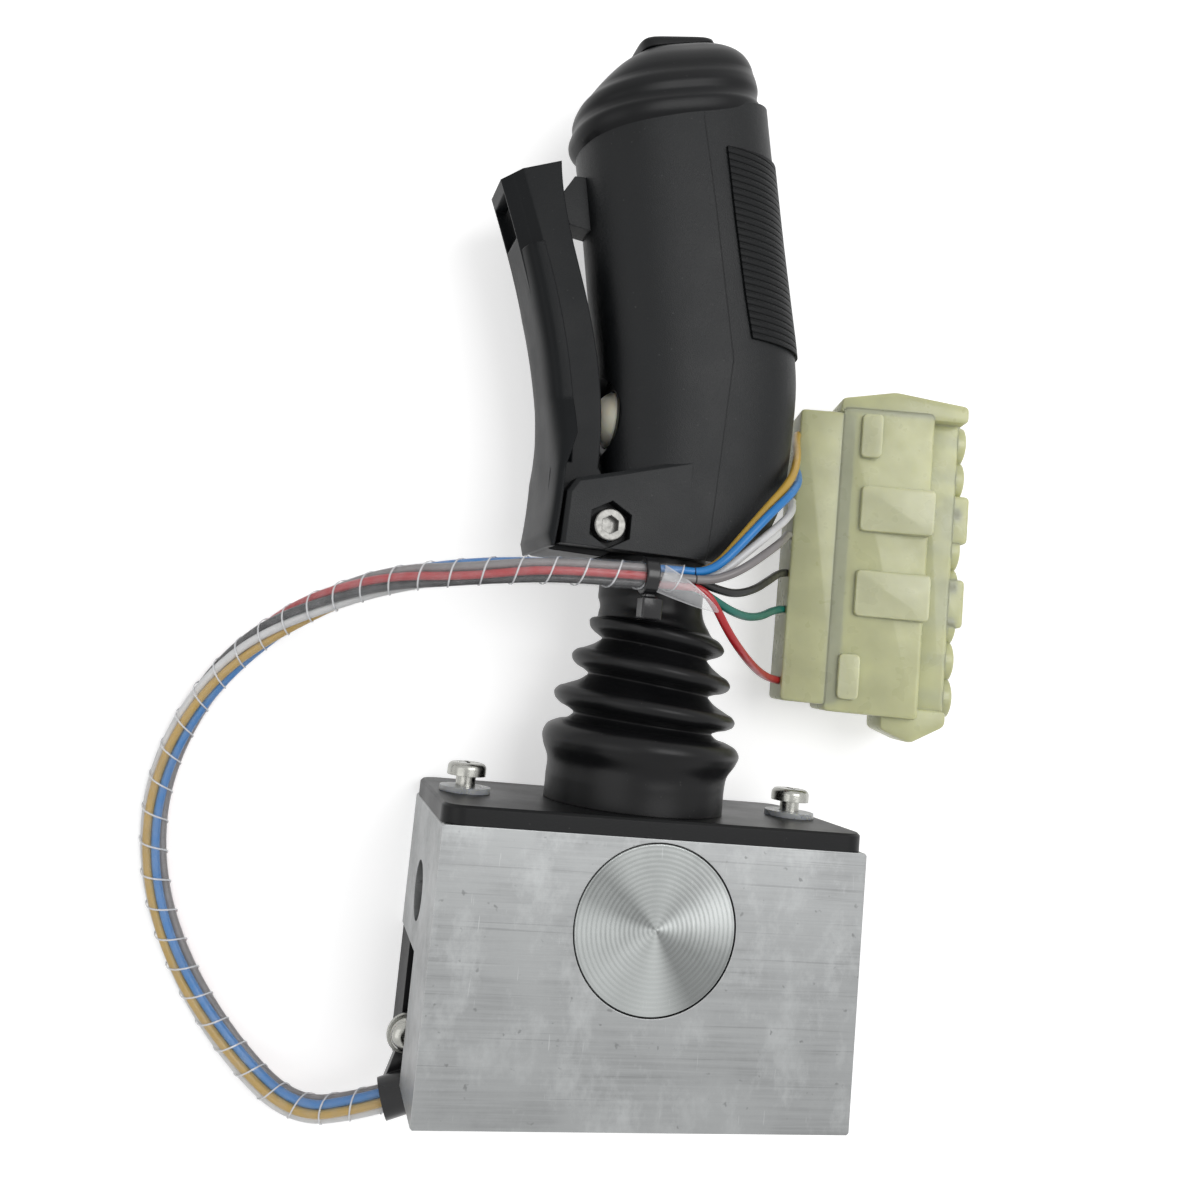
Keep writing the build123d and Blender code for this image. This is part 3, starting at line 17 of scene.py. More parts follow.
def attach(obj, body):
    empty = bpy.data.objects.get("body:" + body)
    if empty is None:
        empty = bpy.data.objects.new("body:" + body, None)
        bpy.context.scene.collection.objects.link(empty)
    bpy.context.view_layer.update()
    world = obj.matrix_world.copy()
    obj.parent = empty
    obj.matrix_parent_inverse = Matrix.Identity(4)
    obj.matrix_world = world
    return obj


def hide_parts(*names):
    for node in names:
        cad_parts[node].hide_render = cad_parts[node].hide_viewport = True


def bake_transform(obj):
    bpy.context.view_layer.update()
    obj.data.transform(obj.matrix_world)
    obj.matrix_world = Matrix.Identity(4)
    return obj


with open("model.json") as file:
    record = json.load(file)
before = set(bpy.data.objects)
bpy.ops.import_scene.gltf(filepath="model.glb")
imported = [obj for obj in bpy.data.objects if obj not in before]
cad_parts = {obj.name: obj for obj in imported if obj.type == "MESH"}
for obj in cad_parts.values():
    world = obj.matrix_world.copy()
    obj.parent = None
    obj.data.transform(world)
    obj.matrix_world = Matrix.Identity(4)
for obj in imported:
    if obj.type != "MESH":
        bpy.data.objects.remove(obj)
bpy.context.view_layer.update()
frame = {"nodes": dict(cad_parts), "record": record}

MM = 0.001
LEVER_Z = 25.4
LOG = logging.getLogger("joystick")

Colour = tuple[float, float, float]
Point = tuple[float, float, float]
Pair = tuple[float, float]
Names = tuple[str, ...]

Socket = bpy.types.NodeSocket
Material = bpy.types.Material
Object = bpy.types.Object


class Body(Enum):
    """The bodies of the joystick that new pieces ride on."""

    BASE = "base"
    LEVER = "lever"
    TRIGGER = "trigger"
    ROCKER = "rocker"


class Way(Enum):
    """How a mark runs over a metal surface."""

    ACROSS = "across"
    ROUND = "round"


# Curves and surfaces

def smooth_line(points: np.ndarray, count: int) -> np.ndarray:
    """Curve through the points: cubic spans whose slopes are the mean of the chords either side.

    Args:
        points: Corner points, one a row, in two or three dimensions.
        count: Number of points wanted, evenly spaced by chord length.

    Returns:
        The points on the curve.
    """
    p = np.asarray(points, float)
    t = np.concatenate([[0], np.cumsum(np.linalg.norm(np.diff(p, axis=0), axis=1))])
    slope = np.gradient(p, t, axis=0)
    s = np.linspace(0, t[-1], count)
    i = np.clip(np.searchsorted(t, s, side="right") - 1, 0, len(p) - 2)
    h = (t[i + 1] - t[i])[:, None]
    u = (s - t[i])[:, None] / h
    return (p[i] * (2 * u**3 - 3 * u**2 + 1) + p[i + 1] * (3 * u**2 - 2 * u**3)
            + h * slope[i] * (u**3 - 2 * u**2 + u) + h * slope[i + 1] * (u**3 - u**2))


def ring_angles(count: int) -> np.ndarray:
    """Angles of a closed ring of points."""
    return np.linspace(0, 2 * np.pi, count, endpoint=False)


def travel_frames(line: np.ndarray) -> tuple[np.ndarray, np.ndarray, np.ndarray]:
    """Unit vectors along a line, to its right as seen from above, and upwards from it.

    Args:
        line: Points of the line, none of it vertical.

    Returns:
        The tangents, the vectors to the right and the vectors upwards.
    """
    along = np.gradient(line, axis=0)
    along /= np.linalg.norm(along, axis=1)[:, None]
    right = np.cross(along, (0.0, 0.0, 1.0))
    right /= np.linalg.norm(right, axis=1)[:, None]
    return along, right, np.cross(right, along)


def tube_rows(line: np.ndarray, radius: float, sides: int) -> np.ndarray:
    """Rings of a round tube: each point of the line plus radius times (cos a, sin a) across it.

    Args:
        line: Points of the tube's middle.
        radius: Radius of the tube.
        sides: Number of sides.

    Returns:
        The points by ring and side.
    """
    _, right, up = travel_frames(line)
    a = ring_angles(sides)[None, :, None]
    return line[:, None] + radius * (np.cos(a) * right[:, None] + np.sin(a) * up[:, None])


@dataclass
class Skin:
    """Surfaces gathered into one piece, in millimetres, each with its finish."""

    name: str
    points: list[np.ndarray] = field(default_factory=list)
    faces: list[list[int]] = field(default_factory=list)
    slots: list[int] = field(default_factory=list)
    count: int = 0

    def grid(self, rows: np.ndarray, slot: int = 0, ring: bool = True, loop: bool = False,
             caps: bool = True) -> None:
        """Add one grid of points as quads, turned so that a closed grid faces outwards.

        Args:
            rows: Points by row and column.
            slot: Index of the finish.
            ring: Whether each row closes on itself.
            loop: Whether the last row joins the first.
            caps: Whether the first and last rows are closed by a flat face.
        """
        n, m = rows.shape[:2]
        index = self.count + np.arange(n * m).reshape(n, m)
        low = np.concatenate([index, index[:1]]) if loop else index
        wide = np.concatenate([low, low[:, :1]], axis=1) if ring else low
        quads = np.stack([wide[:-1, :-1], wide[:-1, 1:], wide[1:, 1:], wide[1:, :-1]], axis=-1).reshape(-1, 4)
        faces = quads.tolist()
        if caps and ring and not loop:
            faces += [index[0, ::-1].tolist(), index[-1].tolist()]
        flat = rows.reshape(-1, 3)
        local = quads - self.count
        a, b, c, d = (flat[local[:, k]] - flat.mean(axis=0) for k in range(4))
        volume = (a * np.cross(b, c)).sum() + (a * np.cross(c, d)).sum()
        if (loop or caps) and ring and volume < 0:
            faces = [face[::-1] for face in faces]
        self.points.append(flat)
        self.faces += faces
        self.slots += [slot] * len(faces)
        self.count += n * m

    def build(self, finishes: list[Material], smooth: float = 40.0) -> Object:
        """Make the object at the origin, its place in its mesh.

        Args:
            finishes: The materials that the slots number.
            smooth: Edges sharper than this many degrees stay sharp.

        Returns:
            The new object.
        """
        mesh = bpy.data.meshes.new(self.name)
        mesh.from_pydata((np.concatenate(self.points) * MM).tolist(), [], self.faces)
        for finish in finishes:
            mesh.materials.append(finish)
        mesh.polygons.foreach_set("material_index", self.slots)
        mesh.validate()
        mesh.shade_smooth()
        mesh.set_sharp_from_angle(angle=math.radians(smooth))
        made = bpy.data.objects.new(self.name, mesh)
        bpy.context.scene.collection.objects.link(made)
        return made


def report(piece: Object) -> Object:
    """Log one finished piece.

    Args:
        piece: The piece.

    Returns:
        The same piece.
    """
    size = len(piece.data.polygons) if piece.type == "MESH" else len(piece.data.splines[0].points)
    LOG.info("%s: %d faces or points", piece.name, size)
    return piece


def nurbs_curve(name: str, points: list[Point], thick: float) -> Object:
    """Round cord on one smooth spline.

    Args:
        name: Name of the piece.
        points: Control points in metres.
        thick: Diameter in metres, or 0 for the bare line.

    Returns:
        The curve's object.
    """
    data = bpy.data.curves.new(name, "CURVE")
    data.dimensions = "3D"
    data.resolution_u = 16
    data.bevel_depth = thick / 2
    data.bevel_resolution = 3
    data.use_fill_caps = thick > 0
    spline = data.splines.new("NURBS")
    spline.points.add(len(points) - 1)
    spline.points.foreach_set("co", np.column_stack([points, np.ones(len(points))]).ravel())
    spline.order_u = 3
    spline.use_endpoint_u = True
    made = bpy.data.objects.new(name, data)
    bpy.context.scene.collection.objects.link(made)
    return made


def line_of(points: list[Point], count: int) -> np.ndarray:
    """Points read evenly along the spline of a route.

    Args:
        points: Control points in metres.
        count: Number of points wanted.

    Returns:
        The points in millimetres.
    """
    bare = nurbs_curve("route_line", points, 0)
    mesh = bpy.data.meshes.new_from_object(bare)
    line = np.array([v.co for v in mesh.vertices], float) / MM
    bpy.data.objects.remove(bare)
    bpy.data.meshes.remove(mesh)
    t = np.concatenate([[0], np.cumsum(np.linalg.norm(np.diff(line, axis=0), axis=1))])
    at = np.linspace(0, t[-1], count)
    return np.stack([np.interp(at, t, line[:, k]) for k in range(3)], axis=1)


# Finishes

class Graph:
    """The node tree of one material, filled by short calls."""

    def __init__(self, name: str) -> None:
        """Start an empty tree.

        Args:
            name: Name of the material.
        """
        self.material = bpy.data.materials.new(name)
        self.material.use_nodes = True
        self.tree = self.material.node_tree
        self.tree.nodes.clear()
        self.coords = self.add("ShaderNodeTexCoord").outputs["Object"]

    def add(self, kind: str, inputs: dict | None = None, **settings: object) -> bpy.types.Node:
        """Add a node.

        Args:
            kind: Blender's name for the node.
            inputs: Value, or output to link, for each input by name or number.
            **settings: Properties of the node.

        Returns:
            The node.
        """
        node = self.tree.nodes.new(kind)
        for key, value in settings.items():
            setattr(node, key, value)
        for key, value in (inputs or {}).items():
            if isinstance(value, Socket):
                self.tree.links.new(value, node.inputs[key])
            else:
                node.inputs[key].default_value = value
        return node

    def calc(self, operation: str, *values: float | Socket, **settings: object) -> Socket:
        """Result of a math node on its values."""
        return self.add("ShaderNodeMath", dict(enumerate(values)), operation=operation, **settings).outputs[0]

    def placed(self, scale: Point = (1, 1, 1), turn: Point = (0, 0, 0)) -> Socket:
        """Object coordinates, scaled and turned by degrees."""
        inputs = {"Vector": self.coords, "Scale": scale, "Rotation": tuple(math.radians(t) for t in turn)}
        return self.add("ShaderNodeMapping", inputs).outputs[0]

    def noise(self, size: float, vector: Socket | None = None, detail: float = 2.0,
              rough: float = 0.5) -> Socket:
        """Noise with features of the given size in millimetres."""
        inputs = {"Vector": vector or self.coords, "Scale": 1 / (size * MM), "Detail": detail,
                  "Roughness": rough}
        return self.add("ShaderNodeTexNoise", inputs).outputs[0]

    def ramp(self, fac: Socket, *stops: Pair) -> Socket:
        """Grey level by factor, straight between the stops.

        Args:
            fac: The factor.
            *stops: Factor and level of each stop.

        Returns:
            The level.
        """
        node = self.add("ShaderNodeValToRGB", {0: fac})
        band = node.color_ramp.elements
        while len(band) < len(stops):
            band.new(0.5)
        for stop, (place, level) in zip(band, stops):
            stop.position = place
            stop.color = (level, level, level, 1)
        return node.outputs[0]

    def blend(self, fac: Socket | float, *colours: Colour | Socket) -> Socket:
        """Colour between two by factor.

        Args:
            fac: The share of the second colour.
            *colours: The two colours, as numbers or outputs.

        Returns:
            The colour.
        """
        one, other = (c if isinstance(c, Socket) else (*c, 1) for c in colours)
        return self.add("ShaderNodeMix", {0: fac, 6: one, 7: other}, data_type="RGBA").outputs[2]

    def sums(self, *parts: tuple[Socket, float]) -> Socket:
        """Sum of outputs, each times its share.

        Args:
            *parts: Output and share of each.

        Returns:
            The sum.
        """
        total = 0.0
        for value, share in parts:
            total = self.calc("MULTIPLY_ADD", value, share, total)
        return total

    def rounded(self, radius: float) -> Socket:
        """Normal that rounds sharp edges by a radius in millimetres."""
        return self.add("ShaderNodeBevel", {"Radius": radius * MM}, samples=4).outputs[0]

    def worn(self, radius: float, gain: float = 6.0) -> Socket:
        """Mask of the edges: where the rounded normal leaves the true one.

        Args:
            radius: Width of the edges in millimetres.
            gain: Strength of the mask.

        Returns:
            The mask from 0 to 1.
        """
        true = self.add("ShaderNodeNewGeometry").outputs["Normal"]
        dot = self.add("ShaderNodeVectorMath", {0: self.rounded(radius), 1: true}, operation="DOT_PRODUCT")
        return self.calc("MULTIPLY", self.calc("SUBTRACT", 1.0, dot.outputs["Value"]), gain, use_clamp=True)

    def wave(self, pitch: float) -> Socket:
        """Ribs across Y: 1 along each, falling to narrow grooves, by the sine of Y over the pitch.

        Args:
            pitch: Distance between the ribs in millimetres.

        Returns:
            The height from 0 to 1.
        """
        inputs = {"Vector": self.coords, "Scale": math.pi / 10 / (pitch * MM)}
        bands = self.add("ShaderNodeTexWave", inputs, bands_direction="Y").outputs["Fac"]
        return self.ramp(bands, (0.0, 0), (0.22, 0.75), (0.6, 1))

    def painted_beams(self, *waves: tuple[float, float, float]) -> Socket:
        """Painted highlight round Z: the sum of share times cosine of count times (angle less a turn).

        Args:
            *waves: Count, turn in degrees and share of each wave.

        Returns:
            The painted highlight's brightness, round zero.
        """
        split = self.add("ShaderNodeSeparateXYZ", {0: self.coords}).outputs
        angle = self.calc("ARCTAN2", split[1], split[0])
        return self.sums(*((self.calc("COSINE", self.calc("MULTIPLY_ADD", angle, count,
                                                          -count * math.radians(turn))), share)
                           for count, turn, share in waves))

    def bump(self, height: Socket, depth: float,
             normal: Socket | None = None) -> Socket:
        """Normal moved by a height.

        Args:
            height: The height from 0 to 1.
            depth: Its full depth in millimetres.
            normal: Normal to start from, if not the mesh's own.

        Returns:
            The normal.
        """
        inputs = {"Height": height, "Distance": depth * MM, "Strength": 1.0}
        if normal is not None:
            inputs["Normal"] = normal
        return self.add("ShaderNodeBump", inputs).outputs[0]

    def shader(self, **inputs: object) -> Material:
        """Finish the tree with a principled shader.

        Args:
            **inputs: Value or output for each input, its name with underscores for spaces.

        Returns:
            The material.
        """
        named = {}
        for key, value in inputs.items():
            colour = isinstance(value, tuple) and len(value) == 3 and "Radius" not in key
            named[key.replace("_", " ")] = (*value, 1) if colour else value
        shader = self.add("ShaderNodeBsdfPrincipled", named)
        self.add("ShaderNodeOutputMaterial", {0: shader.outputs[0]})
        return self.material


def shade(colour: Colour, times: float) -> Colour:
    """Colour times a number."""
    return tuple(min(1.0, c * times) for c in colour)


@dataclass(frozen=True)
class MouldedPlastic:
    """Moulded plastic or rubber with spark grain, faint flow marks, dust and paler edges."""

    name: str
    colour: Colour
    roughness: float = 0.5
    grain: float = 0.22
    depth: float = 0.02
    edge: float = 0.35
    wear: float = 0.25
    gloss: float = 0.24
    dust: float = 0.06
    ribs: float = 0.0

    def build(self) -> Material:
        """Colour is the plastic's with slow mottling, specks of dust and worn edges; grain is in the bump.

        Returns:
            The material.
        """
        g = Graph(self.name)
        slow = g.noise(14.0, detail=3)
        base = g.blend(g.ramp(slow, (0.3, 0), (0.7, 1)), shade(self.colour, 0.86), shade(self.colour, 1.16))
        specks = g.ramp(g.noise(0.9, detail=1), (0.74, 0), (0.8, self.dust))
        base = g.blend(specks, base, (0.3, 0.3, 0.29))
        base = g.blend(g.sums((g.worn(self.edge), self.wear)), base, shade(self.colour, 4.0))
        fine = g.noise(self.grain, detail=2, rough=0.6)
        height = g.sums((fine, 1.0), (g.noise(6.0), 0.6))
        if self.ribs:
            height = g.sums((g.wave(self.ribs), 1.0), (fine, 0.03))
        rough = g.ramp(slow, (0.25, self.roughness - 0.06), (0.75, self.roughness + 0.06))
        return g.shader(Base_Color=base, Roughness=rough, Specular_IOR_Level=self.gloss,
                        Normal=g.bump(height, self.depth, g.rounded(self.edge)))


@dataclass(frozen=True)
class Mark:
    """One kind of mark on metal: noise that is drawn out and cut between two levels."""

    size: float
    drawn: Point
    detail: float
    rough: float
    start: float
    full: float
    level: float
    times: float

    def over(self, g: Graph, base: Socket, colour: Colour) -> Socket:
        """Lay the mark over a metal.

        Args:
            g: The tree.
            base: Colour so far.
            colour: The metal's own colour, which the mark multiplies.

        Returns:
            The colour with the mark.
        """
        noise = g.noise(self.size, g.placed(self.drawn), self.detail, self.rough)
        mask = g.ramp(noise, (self.start, 0), (self.full, self.level))
        return g.blend(mask, base, shade(colour, self.times))


STREAKS = Mark(1.1, (0.02, 1, 1), 5, 0.7, 0.3, 0.72, 0.8, 1.22)
GROOVES = Mark(0.7, (0.012, 1, 1), 2, 0.5, 0.66, 0.72, 0.3, 0.55)
SCUFFS = Mark(13.0, (1.3, 0.8, 1), 9, 0.72, 0.5, 0.68, 0.55, 1.6)
PITS = Mark(2.4, (1, 1, 1), 2, 0.5, 0.7, 0.76, 0.6, 0.5)
# Painted highlight: count, turn in degrees and share of each wave of the turned face's conical beams round
# its middle.
PAINTED_SHEEN = ((2, 62, 0.34), (4, 8, 0.2), (7, 20, 0.1), (3, 250, 0.12))


@dataclass(frozen=True)
class WorkedMetal:
    """Metal with tool marks across or round it, stains and bright edges; turned metal has painted highlight
    beams round its middle.
    """

    name: str
    colour: Colour
    roughness: float = 0.32
    marks: Way = Way.ACROSS
    pitch: float = 0.35
    depth: float = 0.012
    stain: float = 0.2
    edge: float = 0.3
    swirl: float = 0.0

    def lines(self, g: Graph) -> Socket:
        """Height of the tool marks: noise drawn out along X, or a sine of the radius round Z.

        Args:
            g: The tree.

        Returns:
            The height from 0 to 1.
        """
        if self.marks is Way.ACROSS:
            return g.noise(self.pitch, g.placed((0.02, 1, 1)), detail=4, rough=0.7)
        flat = g.placed((1, 1, 0))
        radius = g.add("ShaderNodeVectorMath", {0: flat}, operation="LENGTH").outputs["Value"]
        return g.calc("SINE", g.calc("MULTIPLY", radius, 2 * math.pi / (self.pitch * MM)))

    def build(self) -> Material:
        """Stains darken and roughen the metal, scratches and edges brighten it; the marks are in the bump.
        Turned metal takes painted highlight beams round its middle in place of the stains' colour.

        Returns:
            The material.
        """
        g = Graph(self.name)
        lines = self.lines(g)
        stains = g.ramp(g.noise(24.0, detail=6, rough=0.62), (0.4, 0), (0.62, 1))
        base = g.blend(stains, shade(self.colour, 1 + self.stain), shade(self.colour, 1 - self.stain))
        if self.marks is Way.ACROSS:
            for mark in (STREAKS, GROOVES, SCUFFS, PITS):
                base = mark.over(g, base, self.colour)
        else:
            # Painted highlight: bright and dark beams round the turned face's middle, painted into the colour
            # by angle.
            light = g.add("ShaderNodeMapRange", {0: g.painted_beams(*PAINTED_SHEEN), 1: -0.45, 2: 0.6}).outputs[0]
            base = g.blend(light, shade(self.colour, 0.62), shade(self.colour, 1.5))
        scratch = g.ramp(g.noise(0.5, g.placed((1, 0.06, 1), (0, 0, 34)), detail=1), (0.76, 0), (0.79, 0.5))
        for mask in (scratch, g.worn(self.edge)):
            base = g.blend(mask, base, shade(self.colour, 1.7))
        rough = g.sums((stains, 0.1), (lines, 0.08), (g.noise(3.0), 0.06))
        settings = {"Base_Color": base, "Metallic": 1.0, "Anisotropic": self.swirl,
                    "Roughness": g.calc("ADD", rough, self.roughness - 0.1),
                    "Normal": g.bump(g.sums((lines, 1.0), (scratch, -0.8)), self.depth, g.rounded(self.edge))}
        if self.swirl:
            settings["Tangent"] = g.add("ShaderNodeTangent", direction_type="RADIAL", axis="Z").outputs[0]
        return g.shader(**settings)


@dataclass(frozen=True)
class PlatedSteel:
    """Plated or ground steel with faint mottling."""

    name: str
    colour: Colour
    roughness: float = 0.25
    edge: float = 0.15

    def build(self) -> Material:
        """Colour and roughness drift by a slow and a fine noise.

        Returns:
            The material.
        """
        g = Graph(self.name)
        slow = g.noise(2.5, detail=4)
        base = g.blend(g.ramp(slow, (0.35, 0), (0.65, 1)), shade(self.colour, 0.82), self.colour)
        rough = g.ramp(g.noise(1.0, detail=3), (0.3, self.roughness - 0.07), (0.7, self.roughness + 0.1))
        normal = g.bump(g.noise(0.4, detail=2), 0.006, g.rounded(self.edge))
        return g.shader(Base_Color=base, Metallic=1.0, Roughness=rough, Normal=normal)


@dataclass(frozen=True)
class WaxyNylon:
    """Natural nylon, waxy and slightly see-through, paler where it is thin."""

    name: str
    colour: Colour
    roughness: float = 0.42
    depth: float = 2.5
    clear: float = 0.12

    def build(self) -> Material:
        """Cloudy colour with a light scattered below the surface and worn, paler edges.

        Returns:
            The material.
        """
        g = Graph(self.name)
        cloud = g.noise(12.0, detail=3)
        base = g.blend(g.ramp(cloud, (0.35, 0), (0.7, 1)), shade(self.colour, 0.9), shade(self.colour, 1.1))
        base = g.blend(g.sums((g.worn(0.5, 4.0), 0.6)), base, shade(self.colour, 1.45))
        rough = g.ramp(g.noise(5.0, detail=2), (0.3, self.roughness - 0.08), (0.7, self.roughness + 0.08))
        normal = g.bump(g.noise(1.6, detail=3), 0.03, g.rounded(0.4))
        return g.shader(Base_Color=base, Roughness=rough, Normal=normal, Subsurface_Weight=0.6,
                        Subsurface_Radius=(1.0, 0.9, 0.6), Subsurface_Scale=self.depth * MM,
                        Transmission_Weight=self.clear, IOR=1.5)


@dataclass(frozen=True)
class ClearFilm:
    """Clear wrap film, whiter along its cut edges."""

    name: str
    haze: float = 0.06
    line: float = 0.5

    def build(self) -> Material:
        """Mostly see-through; the mesh's edge attribute raises the cover to that of a white line.

        Returns:
            The material.
        """
        g = Graph(self.name)
        edge = g.add("ShaderNodeAttribute", attribute_name="edge").outputs["Fac"]
        cloud = g.ramp(g.noise(3.0, detail=2), (0.3, self.haze * 0.7), (0.7, self.haze * 1.4))
        alpha = g.sums((edge, self.line), (cloud, 1.0))
        return g.shader(Base_Color=(0.85, 0.86, 0.88), Roughness=0.12, Alpha=alpha,
                        Normal=g.bump(g.noise(1.2), 0.02), Specular_IOR_Level=0.6)


@dataclass(frozen=True)
class WireJacket:
    """Smooth insulation of one wire."""

    name: str
    colour: Colour
    roughness: float = 0.34

    def build(self) -> Material:
        """Colour drifts a little along the wire and the gloss is slightly uneven.

        Returns:
            The material.
        """
        g = Graph(self.name)
        base = g.blend(g.noise(7.0, detail=3), shade(self.colour, 0.82), shade(self.colour, 1.12))
        rough = g.ramp(g.noise(2.0), (0.3, self.roughness - 0.06), (0.7, self.roughness + 0.08))
        return g.shader(Base_Color=base, Roughness=rough, Normal=g.bump(g.noise(0.8), 0.01),
                        Subsurface_Weight=0.08, Subsurface_Scale=0.6 * MM, Subsurface_Radius=(1.0, 0.8, 0.8))


FINISHES = {finish.name: finish for finish in (
    WorkedMetal("bare_aluminium", (0.275, 0.282, 0.283), 0.38, depth=0.012, stain=0.16),
    # Turned face whose colour carries painted highlight beams by angle round its middle.
    WorkedMetal("turned_aluminium", (0.33, 0.345, 0.34), 0.3, Way.ROUND, 1.1, 0.0002, 0.06, 0.3, 0.6),
    MouldedPlastic("plate_black", (0.005, 0.0053, 0.0058), 0.38, 0.35, 0.03, gloss=0.2),
    MouldedPlastic("cover_black", (0.005, 0.0053, 0.0058), 0.5, 0.3, 0.03, gloss=0.2),
    PlatedSteel("zinc_plated", (0.42, 0.42, 0.39), 0.24),
    PlatedSteel("ground_steel", (0.60, 0.59, 0.56), 0.22),
    # Steel of the trigger bolt, darkened below plain steel as painted shade of the recess it sits in.
    PlatedSteel("bolt_steel_painted_shade", (0.17, 0.168, 0.16), 0.3, 0.25),
    PlatedSteel("spring_steel", (0.42, 0.42, 0.43), 0.3),
    PlatedSteel("black_oxide", (0.06, 0.06, 0.062), 0.4),
    PlatedSteel("magnet_nickel", (0.6, 0.58, 0.54), 0.15),
    PlatedSteel("tinned_brass", (0.66, 0.64, 0.58), 0.22),
    MouldedPlastic("board_green", (0.02, 0.12, 0.05), 0.35, 1.5, 0.01),
    MouldedPlastic("switch_black", (0.004, 0.0044, 0.005), 0.4, 0.3, 0.02, wear=0.12, gloss=0.22),
    MouldedPlastic("grip_black", (0.0066, 0.0074, 0.0082), 0.42, 0.3, 0.07, wear=0.1, gloss=0.24),
    MouldedPlastic("trigger_black", (0.0046, 0.0054, 0.0062), 0.38, 0.3, 0.04, 0.6, 0.14, 0.13),
    MouldedPlastic("pad_black", (0.0038, 0.0044, 0.005), 0.5, 0.3, 0.6, wear=0.06, gloss=0.17, ribs=1.73),
    MouldedPlastic("rubber_black", (0.0036, 0.0039, 0.0045), 0.36, 0.6, 0.015, wear=0.05, gloss=0.2),
    MouldedPlastic("boot_black", (0.0042, 0.0043, 0.0048), 0.36, 0.9, 0.015, wear=0.04),
    # Cream of the dome, partly its own colour and partly painted light: raised to full to lift it out of the
    # shade between trigger and grip.
    WaxyNylon("cream_plastic", (1.0, 0.93, 0.76), 0.35, 1.2, 0.0),
    WaxyNylon("natural_nylon", (0.50, 0.51, 0.29), 0.32, 3.5, 0.0),
    WaxyNylon("nylon_tabs", (0.58, 0.59, 0.38), 0.3, 1.5, 0.0),
    WaxyNylon("clear_nylon", (0.50, 0.52, 0.53), 0.3, 1.0, 0.4),
    MouldedPlastic("tie_black", (0.005, 0.005, 0.006), 0.25, 0.6, 0.008, wear=0.1, gloss=0.5),
    ClearFilm("clear_wrap"),
    *(WireJacket("wire_" + name, colour) for name, colour in (
        ("yellow", (0.50, 0.31, 0.04)), ("blue", (0.012, 0.19, 0.52)), ("white", (0.66, 0.66, 0.66)),
        ("grey", (0.21, 0.195, 0.195)), ("black", (0.007, 0.007, 0.008)), ("green", (0.003, 0.15, 0.115)),
        ("red", (0.42, 0.016, 0.022)))),
)}

# The trigger bolt wears the steel darkened as painted shade of its recess.
OVERRIDES = {"trigger_bolt": "bolt_steel_painted_shade", "grip_pad": "pad_black"}


class Wardrobe:
    """Every finish, built once and handed out by its slot's name."""

    def __init__(self) -> None:
        """Build all the materials."""
        self.made = {slot: finish.build() for slot, finish in FINISHES.items()}

    def __getitem__(self, slot: str) -> Material:
        """Material of one slot."""
        return self.made[slot]

    def dress_nodes(self) -> None:
        """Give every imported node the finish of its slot."""
        for part in frame["record"]["subparts"]:
            node = frame["nodes"][part["node"]]
            node.data.materials.clear()
            slot = OVERRIDES.get(part["node"], part["material_slot"])
            node.data.materials.append(self[slot])
            LOG.info("node %s wears %s", node.name, slot)


@dataclass
class Piece:
    """A new piece: its name, finishes, the body it rides on and the nodes it stands in for."""

    name: str = ""
    slots: Names = ()
    body: Body | None = None
    stands_for: Names = ()
    smooth: float = 40.0

    def fill(self, skin: Skin) -> None:
        """Add the surfaces, which each kind of piece has of its own."""
        raise NotImplementedError(self.name)

    def build(self, wardrobe: Wardrobe) -> Object:
        """Make the piece, ride it on its body and report it.

        Args:
            wardrobe: The finishes.

        Returns:
            The piece.
        """
        skin = Skin(self.name)
        self.fill(skin)
        piece = skin.build([wardrobe[slot] for slot in self.slots], self.smooth)
        if self.body:
            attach(piece, self.body.value)
        if self.stands_for:
            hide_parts(*self.stands_for)
        return report(piece)


# Studio

